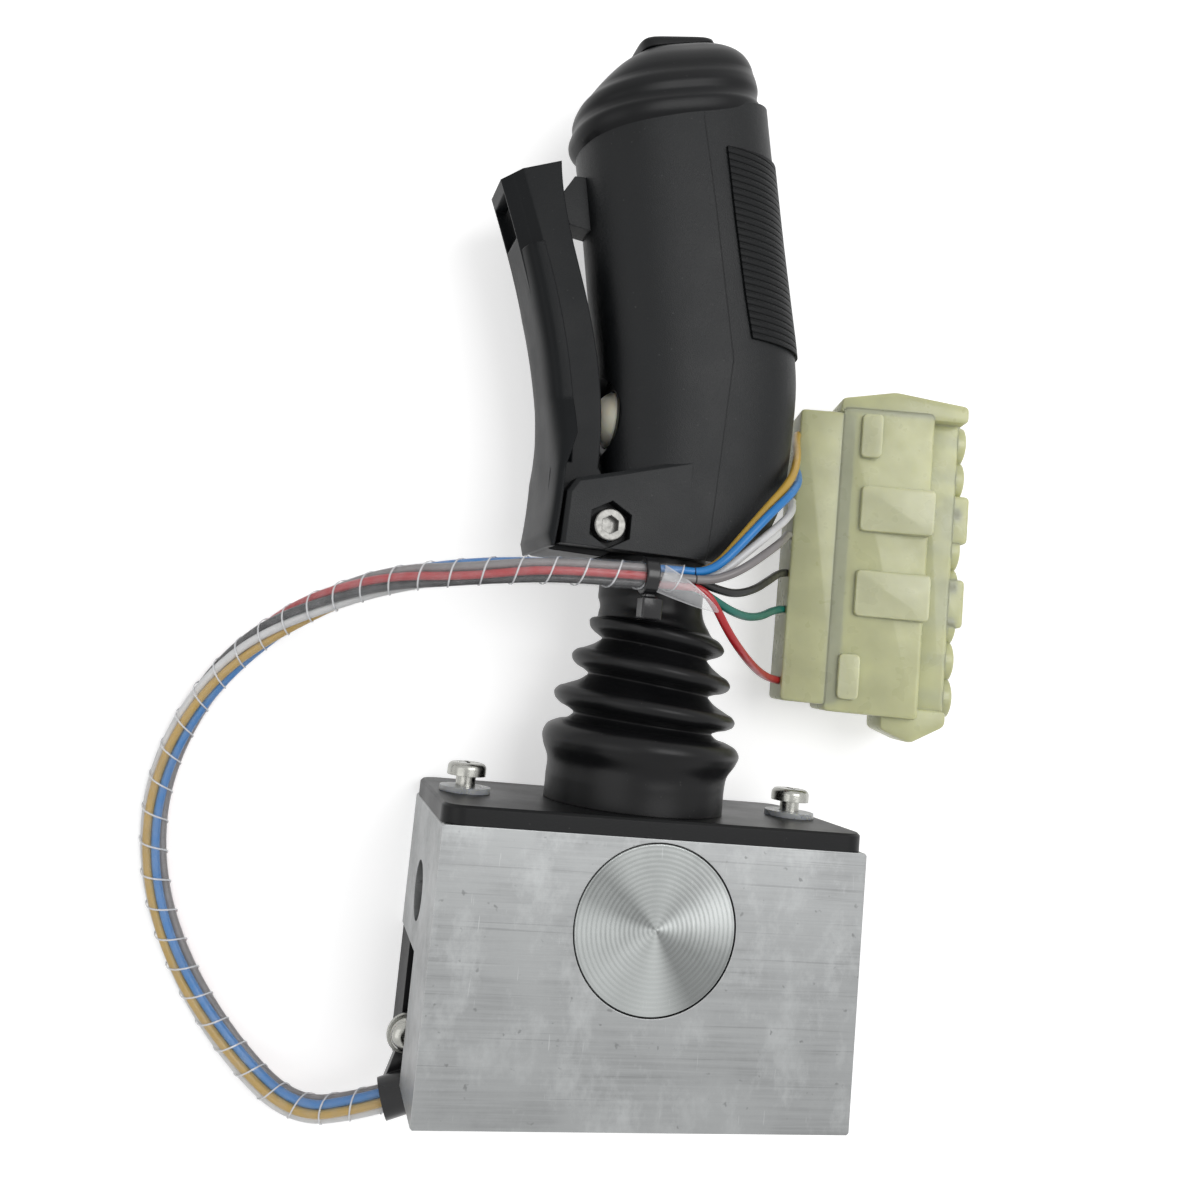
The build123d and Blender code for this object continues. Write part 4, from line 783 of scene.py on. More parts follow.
@dataclass
class Studio:
    """Camera, floor, lamps and world."""

    eye: Point = (-87.553, 56.925, 291.821)
    ahead: Point = (0.206498, 0.113701, -0.971818)
    top: Point = (-0.123147, 0.988347, 0.089468)
    lens: float = 32.76
    shift: Pair = (0.0521, -0.0528)
    ambient: float = 0.5
    floor_grey: float = 0.8
    floor_lift: float = 0.5
    floor_reach: float = 4000.0
    floor_drop: float = 0.02
    lamps_face: Point = (0.0, 0.08, 0.02)
    lamps: tuple[tuple[str, Point, float, float], ...] = (
        ("key_lamp", (0.35, 0.35, 1.1), 0.7, 6.0), ("fill_lamp", (-0.9, -0.1, 0.9), 0.9, 2.2))

    @staticmethod
    def aimed(made: Object, place: np.ndarray, back: np.ndarray, top: Point) -> None:
        """Turn a camera or lamp by the ways that its back and top face, and link it.

        Args:
            made: The camera or lamp.
            place: Its place in metres.
            back: The way that its back faces.
            top: The way that its top faces.
        """
        right = np.cross(top, back)
        right /= np.linalg.norm(right)
        turn = np.eye(4)
        turn[:3] = np.column_stack([right, np.cross(back, right), back, place])
        made.matrix_world = Matrix(turn.tolist())
        bpy.context.scene.collection.objects.link(made)

    def camera(self) -> None:
        """Camera at the photograph's place."""
        data = bpy.data.cameras.new("camera")
        data.lens = self.lens
        data.sensor_width = 36.0
        data.shift_x, data.shift_y = self.shift
        data.clip_start, data.clip_end = 0.01, 50.0
        camera = bpy.data.objects.new("camera", data)
        self.aimed(camera, np.array(self.eye) * MM, -np.array(self.ahead), self.top)
        bpy.context.scene.camera = camera

    @staticmethod
    def seen_directly(graph: bpy.types.NodeTree) -> Socket:
        """1 for camera, glossy and transmission rays, and 0 for the light that falls on the object.

        Args:
            graph: Tree of the world or of a material.

        Returns:
            The factor.
        """
        path = graph.nodes.new("ShaderNodeLightPath")
        total = path.outputs["Is Camera Ray"]
        for name in ("Is Glossy Ray", "Is Transmission Ray"):
            both = graph.nodes.new("ShaderNodeMath")
            both.operation = "MAXIMUM"
            graph.links.new(total, both.inputs[0])
            graph.links.new(path.outputs[name], both.inputs[1])
            total = both.outputs[0]
        return total

    def world(self) -> None:
        """White where it is seen, softer where it lights."""
        world = bpy.data.worlds.new("studio")
        world.use_nodes = True
        tree = world.node_tree
        back = tree.nodes["Background"]
        back.inputs["Color"].default_value = (1, 1, 1, 1)
        level = tree.nodes.new("ShaderNodeMapRange")
        level.inputs["To Min"].default_value = self.ambient
        level.inputs["To Max"].default_value = 1.0
        tree.links.new(self.seen_directly(tree), level.inputs["Value"])
        tree.links.new(level.outputs[0], back.inputs["Strength"])
        bpy.context.scene.world = world

    def floor(self) -> None:
        """Pale table that keeps the object's shadow."""
        graph = Graph("studio_floor")
        lift = graph.calc("MULTIPLY", self.seen_directly(graph.tree), self.floor_lift)
        finish = graph.shader(Base_Color=(self.floor_grey,) * 3, Roughness=0.9, Specular_IOR_Level=0.1,
                              Emission_Color=(1.0, 1.0, 1.0), Emission_Strength=lift)
        edges = np.array((-self.floor_reach, self.floor_reach))
        y, x = np.meshgrid(edges, edges, indexing="ij")
        skin = Skin("studio_table")
        skin.grid(np.stack([x, y, np.full((2, 2), -self.floor_drop)], axis=-1), ring=False, caps=False)
        skin.build([finish])

    def light(self) -> None:
        """A large square lamp overhead to the right and a weaker one from the left, facing the grip."""
        for name, place, size, power in self.lamps:
            data = bpy.data.lights.new(name, "AREA")
            data.size = size
            data.energy = power
            back = np.array(place) - self.lamps_face
            back /= np.linalg.norm(back)
            self.aimed(bpy.data.objects.new(name, data), place, back, (0.0, 1.0, 0.001))

    def build(self) -> None:
        """Set up the whole studio."""
        bpy.context.scene.view_settings.view_transform = "Standard"
        self.camera()
        self.world()
        self.floor()
        self.light()
        LOG.info("studio ready")


# Boot

@dataclass
class Boot(Piece):
    """Rubber bellows: a turned form whose folds lean as they do on the real lever."""

    name: str = "bellows_boot"
    slots: Names = ("boot_black",)
    stands_for: Names = ("boot",)
    bend_from: Point = (0, 0.034, 0)
    bend_to: Point = (0, 0.072, 0)
    foot_r: float = 22.3
    foot_y: float = 24.35
    lip_r: float = 24.7
    lip_y: float = 39.2
    folds: tuple[Point, ...] = ((48.3, 22.9, 3.1), (57.6, 20.2, 2.9), (66.4, 17.3, 2.6))
    valleys: Point = (17.4, 15.2, 13.4)
    neck_r: float = 13.3
    top_y: float = 79.5
    wall: float = 1.5
    collar_r: float = 19.5
    collar_top: float = 29.9
    neck_bore: float = 11.65
    neck_from: float = 71.5
    lean_at: tuple[Point, ...] = (
        (30.0, 0.0, 0.0), (39.2, 1.5, 0.65), (48.3, 4.7, 0.8), (57.6, 6.6, 1.75), (66.4, 7.2, 2.6),
        (71.0, 3.5, 1.0), (75.0, 0.0, 0.0))
    sides: int = 96

    def profile(self) -> np.ndarray:
        """Outside of the bellows from foot to top, its folds as rounded lobes.

        Returns:
            Radius and height of each point.
        """
        line = [(self.foot_r, self.foot_y), (self.foot_r, 30.0), (self.foot_r + 0.2, 33.6),
                (self.lip_r - 0.5, self.lip_y - 2.0), (self.lip_r, self.lip_y),
                (self.lip_r - 0.8, self.lip_y + 1.9), (self.lip_r - 3.2, self.lip_y + 3.3)]
        for (y, r, half), valley in zip(self.folds, self.valleys):
            line += [(valley + 1.0, y - half - 1.7), (valley + 0.1, y - half - 0.7),
                     (valley + 1.3, y - half + 0.1), (r - 1.6, y - 2.0), (r - 0.3, y - 0.9), (r, y + 0.2),
                     (r - 0.8, y + 1.5), (r - 2.6, y + 2.4)]
        line += [(self.neck_r + 0.7, 70.3), (self.neck_r, 72.0), (self.neck_r, 76.0),
                 (self.neck_r, self.top_y)]
        return smooth_line(np.array(line), 240)

    def rows(self) -> np.ndarray:
        """Closed wall: outside up, inside down, each ring tilted and shifted by its height's lean.

        Returns:
            The points by row and column.
        """
        outer = self.profile()
        inner = outer[::-1] - (self.wall, 0)
        y = inner[:, 1]
        inner[:, 0] = np.where(y < self.collar_top, self.collar_r, inner[:, 0])
        inner[:, 0] = np.where(y > self.neck_from, self.neck_bore, inner[:, 0])
        wall = np.concatenate([outer, inner])
        heights, tilts, shifts = np.array(self.lean_at).T
        tilt = np.tan(np.radians(np.interp(wall[:, 1], heights, tilts)))[:, None]
        shift = np.interp(wall[:, 1], heights, shifts)[:, None]
        a = ring_angles(self.sides)[None]
        x = wall[:, :1] * np.cos(a)
        return np.stack([x + shift, wall[:, 1:] - tilt * x, LEVER_Z + wall[:, :1] * np.sin(a)], axis=-1)

    def fill(self, skin: Skin) -> None:
        """Add the wall as one closed surface."""
        skin.grid(self.rows(), loop=True)

    def build(self, wardrobe: Wardrobe) -> Object:
        """Make the boot and bake its place into its mesh.

        Args:
            wardrobe: The finishes.

        Returns:
            The boot.
        """
        boot = super().build(wardrobe)
        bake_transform(boot)
        return boot


# Grip

@dataclass
class PartingLine(Piece):
    """Groove between the grip's shells, drawn as a thin dark bead let into the surface."""

    name: str = "parting_groove"
    slots: Names = ("switch_black",)
    body: Body | None = Body.LEVER
    stations: tuple[Point, ...] = (
        (84.8, -18.2, 16.0), (90.0, -18.0, 24.0), (97.0, -17.6, 29.2), (106.0, -17.3, 32.0),
        (118.0, -17.9, 33.0), (136.0, -19.8, 33.2), (150.0, -22.8, 30.7), (170.0, -26.6, 26.4),
        (190.0, -30.5, 22.4), (220.0, -36.3, 16.6))
    line: tuple[Pair, ...] = (
        (8.4, 101.7), (10.1, 136.0), (6.8, 151.9), (2.0, 174.9), (-3.1, 197.0))
    half: float = 18.0
    power: float = 2.5
    radius: float = 0.28

    def surface(self, x: np.ndarray, y: np.ndarray) -> np.ndarray:
        """Height of the grip's front at (x, y): half times (1 - |share of the half width|^p)^(1/p).

        Args:
            x: Places to the right.
            y: Places along the lever.

        Returns:
            The heights.
        """
        at, left, right = np.array(self.stations).T
        low, high = np.interp(y, at, left), np.interp(y, at, right)
        share = np.abs((x - (low + high) / 2) / ((high - low) / 2))
        return LEVER_Z + self.half * (1 - np.clip(share, 0, 1) ** self.power) ** (1 / self.power)

    def fill(self, skin: Skin) -> None:
        """Follow the line over the surface, sunk by a share of the bead's radius.

        Args:
            skin: Piece that takes the surfaces.
        """
        flat = np.array(self.line)
        y = np.linspace(flat[0, 1], flat[-1, 1], 160)
        x = np.interp(y, flat[:, 1], flat[:, 0])
        path = np.stack([x, y, self.surface(x, y) - 0.6 * self.radius], axis=-1)
        skin.grid(tube_rows(path, self.radius, 8))


@dataclass
class TriggerShell(Piece):
    """Rounded outer skin of the trigger, carried down over the left edges of the clevis."""

    name: str = "trigger_skin"
    slots: Names = ("trigger_black",)
    body: Body | None = Body.TRIGGER
    ridge: tuple[Pair, ...] = (
        (-27.6, 84.2), (-26.9, 92.0), (-27.0, 111.0), (-29.9, 129.0), (-36.2, 151.0), (-39.6, 160.0))
    out: float = 5.3
    power: float = 4.0
    wide: Pair = (17.2, 11.25)
    wide_at: Pair = (103.0, 122.0)
    sunk: Pair = (2.9, -0.4)
    sunk_at: Pair = (104.0, 113.0)
    fade: tuple[Pair, ...] = ((84.2, 0.72), (86.7, 1.0), (146.0, 1.0), (160.0, 0.9))
    columns: int = 33

    def rows(self) -> np.ndarray:
        """Sections along the ridge: outwards = edge + rise * (1 - |z / half|^p)^(1/p), closed inside.

        Returns:
            The points by row and column.
        """
        ridge = smooth_line(np.array(self.ridge), 120)
        along = np.gradient(ridge, axis=0)
        along /= np.linalg.norm(along, axis=1)[:, None]
        normal = np.column_stack([-along[:, 1], along[:, 0]])
        y = ridge[:, 1]
        half = np.interp(y, self.wide_at, self.wide)
        edge = np.interp(y, self.sunk_at, self.sunk)
        fade = np.interp(y, *np.array(self.fade).T)
        share = np.sin(np.linspace(-1, 1, self.columns) * np.pi / 2)
        lift = (1 - np.abs(share) ** self.power) ** (1 / self.power)
        outer = edge[:, None] + (self.out * fade - edge)[:, None] * lift[None]
        inner = np.repeat(edge[:, None] - 0.15, self.columns, axis=1)
        reach = np.concatenate([outer, inner], axis=1)
        z = np.concatenate([half[:, None] * share, (half[:, None] * share)[:, ::-1]], axis=1)
        flat = ridge[:, None] + reach[..., None] * normal[:, None]
        return np.concatenate([flat, (LEVER_Z + z)[..., None]], axis=-1)

    def fill(self, skin: Skin) -> None:
        """Add the closed skin."""
        skin.grid(self.rows())


# Cap and rocker

@dataclass
class CapFrame:
    """Plane of the seam between the grip and its cap: along it, out of it and across in Z."""

    origin: Pair = (-6.34, 199.95)
    tilt: float = 16.4
    seam_n: float = 1.2

    def place(self, rows: np.ndarray) -> np.ndarray:
        """Move points into the part's frame.

        Args:
            rows: Points as (along, out, across).

        Returns:
            The same points as (x, y, z).
        """
        a = math.radians(self.tilt)
        t, n, z = np.moveaxis(rows, -1, 0)
        n = n - self.seam_n
        x = self.origin[0] + t * math.cos(a) - n * math.sin(a)
        y = self.origin[1] + t * math.sin(a) + n * math.cos(a)
        return np.stack([x, y, LEVER_Z + z], axis=-1)

    @staticmethod
    def ring(left: float, right: float, half: float, n: float, power: float, sides: int) -> np.ndarray:
        """Rounded outline: each way the power 2/p of sine and cosine.

        Args:
            left: Its left end.
            right: Its right end.
            half: Half its width across.
            n: Its height out of the plane.
            power: The power p: 2 is an ellipse, and more is squarer.
            sides: Number of points.

        Returns:
            The points as (along, out, across).
        """
        a = ring_angles(sides)
        c, s = np.cos(a), np.sin(a)
        t = (left + right) / 2 + (right - left) / 2 * np.sign(c) * np.abs(c) ** (2 / power)
        z = half * np.sign(s) * np.abs(s) ** (2 / power)
        return np.stack([t, np.full(sides, n), z], axis=-1)


@dataclass
class GripCap(Piece):
    """Rubber cap of the grip: a bead at the seam, a second bulge and a sloping crown with a well."""

    name: str = "cap_crown"
    slots: Names = ("rubber_black",)
    body: Body | None = Body.LEVER
    stands_for: Names = ("grip_cap",)
    at: CapFrame = field(default_factory=CapFrame)
    stations: tuple[tuple[float, float, float, float], ...] = (
        (-2.0, -26.0, 22.8, 17.4), (-0.6, -26.8, 23.7, 18.5), (0.6, -27.2, 24.2, 18.9),
        (2.4, -27.1, 24.5, 19.0), (4.0, -26.2, 24.2, 18.2), (5.2, -25.6, 24.3, 17.9),
        (7.2, -25.2, 24.9, 18.2), (9.2, -24.2, 25.0, 17.8), (11.2, -21.9, 24.9, 16.9),
        (13.8, -18.9, 24.4, 16.0), (16.4, -15.5, 23.2, 14.6), (18.4, -12.4, 21.4, 13.0),
        (19.6, -9.8, 19.2, 11.9), (20.2, -8.2, 17.4, 11.2))
    well: tuple[float, float, float] = (-7.0, 15.6, 10.3)
    rim_n: float = 20.4
    floor_n: float = 17.4
    sides: int = 128

    def fill(self, skin: Skin) -> None:
        """Rings up the outside, over the rim and down the well, closed under and in the well.

        Args:
            skin: Piece that takes the surfaces.
        """
        outline = smooth_line(np.array(self.stations), 90)
        powers = np.interp(outline[:, 0], (0, 12, self.rim_n), (2.5, 2.5, 3.2))
        rings = [self.at.ring(left, right, half, n, power, self.sides)
                 for (n, left, right, half), power in zip(outline, powers)]
        left, right, half = self.well
        rings += [self.at.ring(left - 0.3, right + 0.3, half + 0.3, self.rim_n, 4, self.sides),
                  self.at.ring(left, right, half, self.rim_n - 0.3, 5, self.sides),
                  self.at.ring(left, right, half, self.floor_n, 5, self.sides)]
        skin.grid(self.at.place(np.array(rings)))


@dataclass
class RockerButton(Piece):
    """Rocker in the cap's well: a sloping block with rounded rims and a dished top."""

    name: str = "rocker_cap"
    slots: Names = ("switch_black",)
    body: Body | None = Body.ROCKER
    stands_for: Names = ("rocker_button",)
    at: CapFrame = field(default_factory=CapFrame)
    ends: Pair = (-6.0, 14.6)
    half: float = 9.3
    low_n: float = 20.9
    top_n: float = 24.3
    rims: tuple[Pair, ...] = (
        (0.0, -1.2), (0.15, -0.5), (0.6, -0.08), (1.2, 0.0), (2.0, -0.12), (4.5, -0.5), (7.5, -0.7),
        (8.6, -0.7))
    slope: float = 0.076
    sides: int = 96

    def fill(self, skin: Skin) -> None:
        """Rings up the side, rounded at the top and shrinking inwards as the dish falls.

        Args:
            skin: Piece that takes the surfaces.
        """
        left, right = self.ends
        levels = [(0.6, self.low_n), (0.0, self.low_n + 0.5), *((i, self.top_n + n) for i, n in self.rims)]
        rings = np.array([self.at.ring(left + inset, right - inset, self.half - inset, n, 6, self.sides)
                          for inset, n in levels])
        rings[2:, :, 1] -= self.slope * (rings[2:, :, 0] - left)
        skin.grid(self.at.place(rings))


# Connector

@dataclass
class Connector(Piece):
    """Natural nylon plug: plain wire end, raised middle with ramps, and lobed mating end."""

    name: str = "connector_shell"
    slots: Names = ("natural_nylon", "nylon_tabs")
    body: Body | None = Body.LEVER
    stands_for: Names = ("connector_housing",)
    smooth: float = 30.0
    at: Point = (46.0, 93.5, 0.4)
    tilt: float = 16.0
    length: float = 83.2
    nose: float = 11.5
    shelf: float = 36.3
    thick: float = 19.0
    end: float = 46.5
    ways: int = 8
    pitch: float = 10.0
    lobe_r: float = 5.5
    lobe_w: float = 9.0
    latches: Pair = (13.6, -9.4)
    ramps: tuple[Pair, ...] = ((16.6, 33.6), (14.6, -32.0))
    latch_from: float = 17.6
    mating: Pair = (2.0, 14.9)
    tongue: Pair = (4.0, 14.5)

    def place(self, rows: np.ndarray) -> np.ndarray:
        """Move points into the part's frame.

        Args:
            rows: Points as (along, across, up).

        Returns:
            The same points as (x, y, z).
        """
        a = math.radians(self.tilt)
        u, v, w = np.moveaxis(rows, -1, 0)
        x = self.at[0] + u * math.cos(a) - w * math.sin(a)
        return np.stack([x, self.at[1] + v, self.at[2] + u * math.sin(a) + w * math.cos(a)], axis=-1)

    def way(self, number: int) -> float:
        """Place across of one way."""
        return ((self.ways - 1) / 2 - number) * self.pitch

    def slab(self, skin: Skin, corners: list[Pair], low: float, high: float, slot: int = 0,
             bevel: float = 0.8, drop: float = 0.0) -> None:
        """Prism on an outline, its top edge bevelled and sloping down along u by drop.

        Args:
            skin: Piece that takes it.
            corners: Outline as (u, v), anticlockwise.
            low: Level of its foot.
            high: Level of its top.
            slot: Index of the finish.
            bevel: Size of the bevel.
            drop: Fall of the top from the largest u to the smallest.
        """
        outline = self.rounded(np.array(corners, float), 1.4)
        middle = outline.mean(axis=0)
        span = np.ptp(outline, axis=0)
        rings = []
        for inset, w in ((0, low), (0, high - bevel), (bevel * 0.3, high - bevel * 0.3), (bevel, high)):
            ring = middle + (outline - middle) * (1 - 2 * inset / span)
            fall = drop * (outline[:, 0].max() - ring[:, 0]) / span[0] if w > low else 0.0
            rings.append(np.column_stack([ring, np.full(len(ring), w) - fall]))
        skin.grid(self.place(np.array(rings)), slot)

    @staticmethod
    def box(u: Pair, v: Pair) -> list[Pair]:
        """Corners of a rectangle from its limits along and across."""
        return [(u[0], v[0]), (u[1], v[0]), (u[1], v[1]), (u[0], v[1])]

    @staticmethod
    def rounded(corners: np.ndarray, radius: float) -> np.ndarray:
        """Outline with each corner cut by a quadratic curve.

        Args:
            corners: The corners.
            radius: How far from the corner its curve starts.

        Returns:
            The points of the outline.
        """
        before = np.roll(corners, 1, axis=0) - corners
        after = np.roll(corners, -1, axis=0) - corners
        start = corners + radius * before / np.linalg.norm(before, axis=1)[:, None]
        stop = corners + radius * after / np.linalg.norm(after, axis=1)[:, None]
        s = np.linspace(0, 1, 5)[None, :, None]
        return ((1 - s) ** 2 * start[:, None] + 2 * s * (1 - s) * corners[:, None]
                + s**2 * stop[:, None]).reshape(-1, 2)

    def lobe(self, skin: Skin, v: float, sides: int = 28) -> None:
        """Round-ended barrel of one way at the mating end.

        Args:
            skin: Piece that takes it.
            v: Its place across.
            sides: Number of sides.
        """
        a = ring_angles(sides)
        rings = [(self.shelf - 4, 0.0), (self.end - 1.2, 0.0), (self.end - 0.35, 0.3), (self.end, 1.1)]
        rows = [np.column_stack([np.full(sides, u), v + (self.lobe_r - r) * np.cos(a),
                                 self.lobe_w + (self.lobe_r - r) * np.sin(a)]) for u, r in rings]
        skin.grid(self.place(np.array(rows)))

    def fill(self, skin: Skin) -> None:
        """Add the wire end, the middle, the ears, the mating end, its lobes, the latches and the ramps.

        Args:
            skin: Piece that takes the surfaces.
        """
        half, nose, shelf, thick = self.length / 2, self.nose, self.shelf, self.thick
        inset = half - 1.6
        ears = ([(nose - 0.6, half - 2), (shelf + 9, half - 2), (shelf + 9, half + 2.6),
                 (nose + 14, half + 5.2), (nose - 0.6, half + 2.4)],
                [(shelf - 9, -half - 3.4), (shelf - 1, -half - 6.4), (shelf + 8, -half - 1),
                 (shelf + 8, -half + 3), (shelf - 9, -half + 3)])
        self.slab(skin, self.box((0, nose + 4), (-inset, inset)), 0.3, thick - 0.2)
        self.slab(skin, self.box((nose, shelf), (-half, half)), 0.0, thick)
        self.slab(skin, ears[0], 1.5, thick - 0.2)
        self.slab(skin, ears[1], 1.5, thick - 2.5)
        self.slab(skin, self.box((shelf - 2, self.end - 2.5), (-half + 1, half - 1)), *self.mating)
        for number in range(self.ways):
            self.lobe(skin, self.way(number))
        for v in self.latches:
            self.slab(skin, self.box((self.latch_from, shelf + 0.6), (v - 6.2, v + 6.2)), thick - 1,
                      thick + 2.9, 1, 0.5, 1.4)
            self.slab(skin, self.box((shelf + 4, self.end + 1.5), (v - 6.6, v + 6.6)), *self.tongue)
        for u, v in self.ramps:
            self.slab(skin, self.box((u, u + 5.4), (v - 6, v + 6)), thick - 1, thick + 2.2, 1, 0.4, 0.9)


# Fasteners

@dataclass
class ClipScrew(Piece):
    """Plated pan head screw with its washer, which hold the cable clip."""

    name: str = "clip_fastener"
    slots: Names = ("zinc_plated",)
    body: Body | None = Body.BASE
    stands_for: Names = ("clip_screw", "clip_washer")
    at: Pair = (-49.3, -34.4)
    seat: float = 18.7
    washer: Pair = (4.7, 0.8)
    head: Pair = (3.9, 2.6)
    recess: Pair = (1.5, 1.3)
    sides: int = 64

    def fill(self, skin: Skin) -> None:
        """Turn the washer's and the head's outlines about the screw's axis.

        Args:
            skin: Piece that takes the surfaces.
        """
        (wide, thin), (r, tall), (hole, deep), low = self.washer, self.head, self.recess, self.seat
        top = low + thin
        outlines = (
            [(wide, low), (wide, top - 0.15), (wide - 0.15, top), (0.01, top)],
            [(r - 0.3, top), (r, top + 0.5), (r * 0.93, top + tall * 0.55),
             (r * 0.74, top + tall * 0.85), (r * 0.5, top + tall), (hole, top + tall),
             (hole * 0.7, top + tall - deep), (0.01, top + tall - deep)])
        a = ring_angles(self.sides)
        turn = np.column_stack([np.cos(a), np.sin(a)])
        for outline in outlines:
            skin.grid(np.array([np.column_stack([self.at + reach * turn, np.full(self.sides, z)])
                                for reach, z in outline]))


@dataclass
class CableTie(Piece):
    """Black tie round the bundle with its head hanging towards the boot."""

    name: str = "bundle_tie"
    slots: Names = ("tie_black",)
    body: Body | None = Body.LEVER
    stands_for: Names = ("zip_tie",)
    middle: Point = (-7.3, 79.8, 44.9)
    width: float = 3.2
    bore: float = 3.32
    strap: float = 1.15
    head_at: Point = (-6.3, 72.2, 44.6)
    head_half: Point = (2.5, 2.6, 2.4)
    neck_half: Point = (1.28, 1.9, 1.3)
    sides: int = 72

    def fill(self, skin: Skin) -> None:
        """Bend the strap's section into a ring about X, and add the head and its neck as blocks.

        Args:
            skin: Piece that takes the surfaces.
        """
        half, low, high = self.width / 2, self.bore, self.bore + self.strap
        section = np.array([(-half, low), (half, low), (half, high - 0.25), (half - 0.25, high),
                            (-half + 0.25, high), (-half, high - 0.25)])
        a = ring_angles(self.sides)[:, None]
        rows = np.stack([np.broadcast_to(self.middle[0] + section[:, 0], (self.sides, len(section))),
                         self.middle[1] + section[:, 1] * np.cos(a),
                         self.middle[2] + section[:, 1] * np.sin(a)], axis=-1)
        skin.grid(rows, loop=True)
        head = np.array(self.head_at)
        neck = (head + (self.middle[0], self.middle[1] - high, self.middle[2])) / 2
        self.block(skin, head, np.array(self.head_half))
        self.block(skin, neck, np.array(self.neck_half))

    @staticmethod
    def block(skin: Skin, middle: np.ndarray, half: np.ndarray) -> None:
        """Rounded block with its top and bottom edges bevelled.

        Args:
            skin: Piece that takes it.
            middle: Its middle.
            half: Half its size each way.
        """
        corners = np.array([(-1, -1), (1, -1), (1, 1), (-1, 1)]) * half[:2]
        rings = []
        for share, z in ((0.86, -1.0), (1.0, -0.84), (1.0, 0.84), (0.86, 1.0)):
            outline = Connector.rounded(corners, 0.5) * share + middle[:2]
            rings.append(np.column_stack([outline, np.full(len(outline), middle[2] + z * half[2])]))
        skin.grid(np.array(rings))


# Harness

@dataclass
class Harness:
    """Seven wires in a clear spiral wrap, from the block to the tie."""

    route: tuple[Point, ...] = (
        (-0.014, -0.0292, 0.0219), (-0.038, -0.0431, 0.0219), (-0.058, -0.0506, 0.0203),
        (-0.0735, -0.057, 0.0088), (-0.09, -0.0445, 0.0038), (-0.1045, -0.0255, 0.0036),
        (-0.1142, -0.0035, 0.0036), (-0.1158, 0.0195, 0.0036), (-0.1075, 0.0425, 0.005),
        (-0.0915, 0.0605, 0.0135), (-0.07, 0.0723, 0.0285), (-0.047, 0.0769, 0.0405),
        (-0.024, 0.0793, 0.045), (0.0035, 0.0802, 0.045))
    length: float = 0.314
    thick: float = 0.0066
    strand_r: float = 1.02
    lay_r: float = 2.12
    lay_sides: int = 12
    bend_from: Point = (-0.1, -0.04, 0)
    bend_to: Point = (-0.1, 0.075, 0)
    tie_share: float = 0.965
    inside: Names = ("grey", "blue", "yellow", "white", "black", "red")
    core: str = "green"
    turns: tuple[Pair, ...] = (
        (0.0, 90), (0.16, 92), (0.22, 100), (0.29, 112), (0.37, 140), (0.45, 132), (0.53, 112), (0.60, 80),
        (0.65, 40), (0.70, -20), (0.77, -70), (0.83, -125), (0.88, -92), (0.94, -95), (1.0, -95))
    fanned: tuple[tuple[str, float], ...] = (
        ("red", 30), ("grey", 90), ("blue", 150), ("yellow", 210), ("black", 270), ("green", 330))
    fan_core: str = "white"
    wrap_pitch: float = 7.6
    wrap_in: float = 3.18
    wrap_t: float = 0.16
    wrap_from: float = 34.0
    wrap_steps: int = 30
    wrap_grows: float = 0.1
    wrap_across: tuple[float, ...] = (0.0, 0.03, 0.06, 0.3, 0.6, 0.98, 1.01, 1.04)
    wrap_edge: tuple[float, ...] = (1, 1, 0, 0, 0, 0, 1, 1)
    flap_from: Point = (-5.0, 79.7, 45.2)
    flap_to: Point = (10.5, 75.0, 44.6)
    flap_r: float = 3.6
    flap_t: float = 0.18
    flap_open: float = 62.0
    flap_turn: Pair = (96.0, 26.0)
    flap_mesh: tuple[int, int] = (14, 11)

    def strands(self, line: np.ndarray, skin: Skin, slots: list[str]) -> None:
        """Twisted wires: each follows the line at the lay's radius and an angle that drifts along it.

        Args:
            line: Middle of the bundle.
            skin: Piece that takes the tubes.
            slots: Wire colours in the order of the piece's finishes.
        """
        share = np.linspace(0, 1, len(line))
        knots, degrees = np.array(self.turns).T
        drift = np.interp(share, knots, degrees)
        drift = np.convolve(np.pad(drift, 12, mode="edge"), np.full(25, 1 / 25), mode="valid")
        tie = int(self.tie_share * len(line))
        first, last = line[:tie], line[tie - 2:]
        for k, colour in enumerate(self.inside):
            self.strand(first, np.radians(drift[:tie] + 60 * (k - 2)), skin, slots.index(colour))
        for colour, angle in self.fanned:
            self.strand(last, np.full(len(last), math.radians(angle)), skin, slots.index(colour))
        for part, colour in ((first, self.core), (last, self.fan_core)):
            skin.grid(tube_rows(part, self.strand_r, self.lay_sides), slots.index(colour))

    def strand(self, line: np.ndarray, angle: np.ndarray, skin: Skin, slot: int) -> None:
        """One wire beside the line.

        Args:
            line: Middle of the bundle.
            angle: The wire's angle round it at each point.
            skin: Piece that takes it.
            slot: Index of the finish.
        """
        _, right, up = travel_frames(line)
        offset = self.lay_r * (np.cos(angle)[:, None] * right + np.sin(angle)[:, None] * up)
        skin.grid(tube_rows(line + offset, self.strand_r, self.lay_sides), slot)

    def bent(self, piece: Object) -> None:
        """Bake a piece's place into its mesh."""
        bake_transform(piece)

    def build(self, wardrobe: Wardrobe) -> Object:
        """Make the wires of the wrapped stretch, which replace the plain cord, and what is on them.

        Args:
            wardrobe: The finishes.

        Returns:
            The wires.
        """
        line = line_of(self.route, 440)
        slots = [*self.inside, self.core]
        skin = Skin("harness_wires")
        self.strands(line, skin, slots)
        wires = skin.build([wardrobe["wire_" + c] for c in slots])
        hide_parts("harness_bundle")
        self.flap(wardrobe)
        self.bent(wires)
        wrap = self.wrap(line, wardrobe)
        tie = CableTie().build(wardrobe)
        return report(wires)

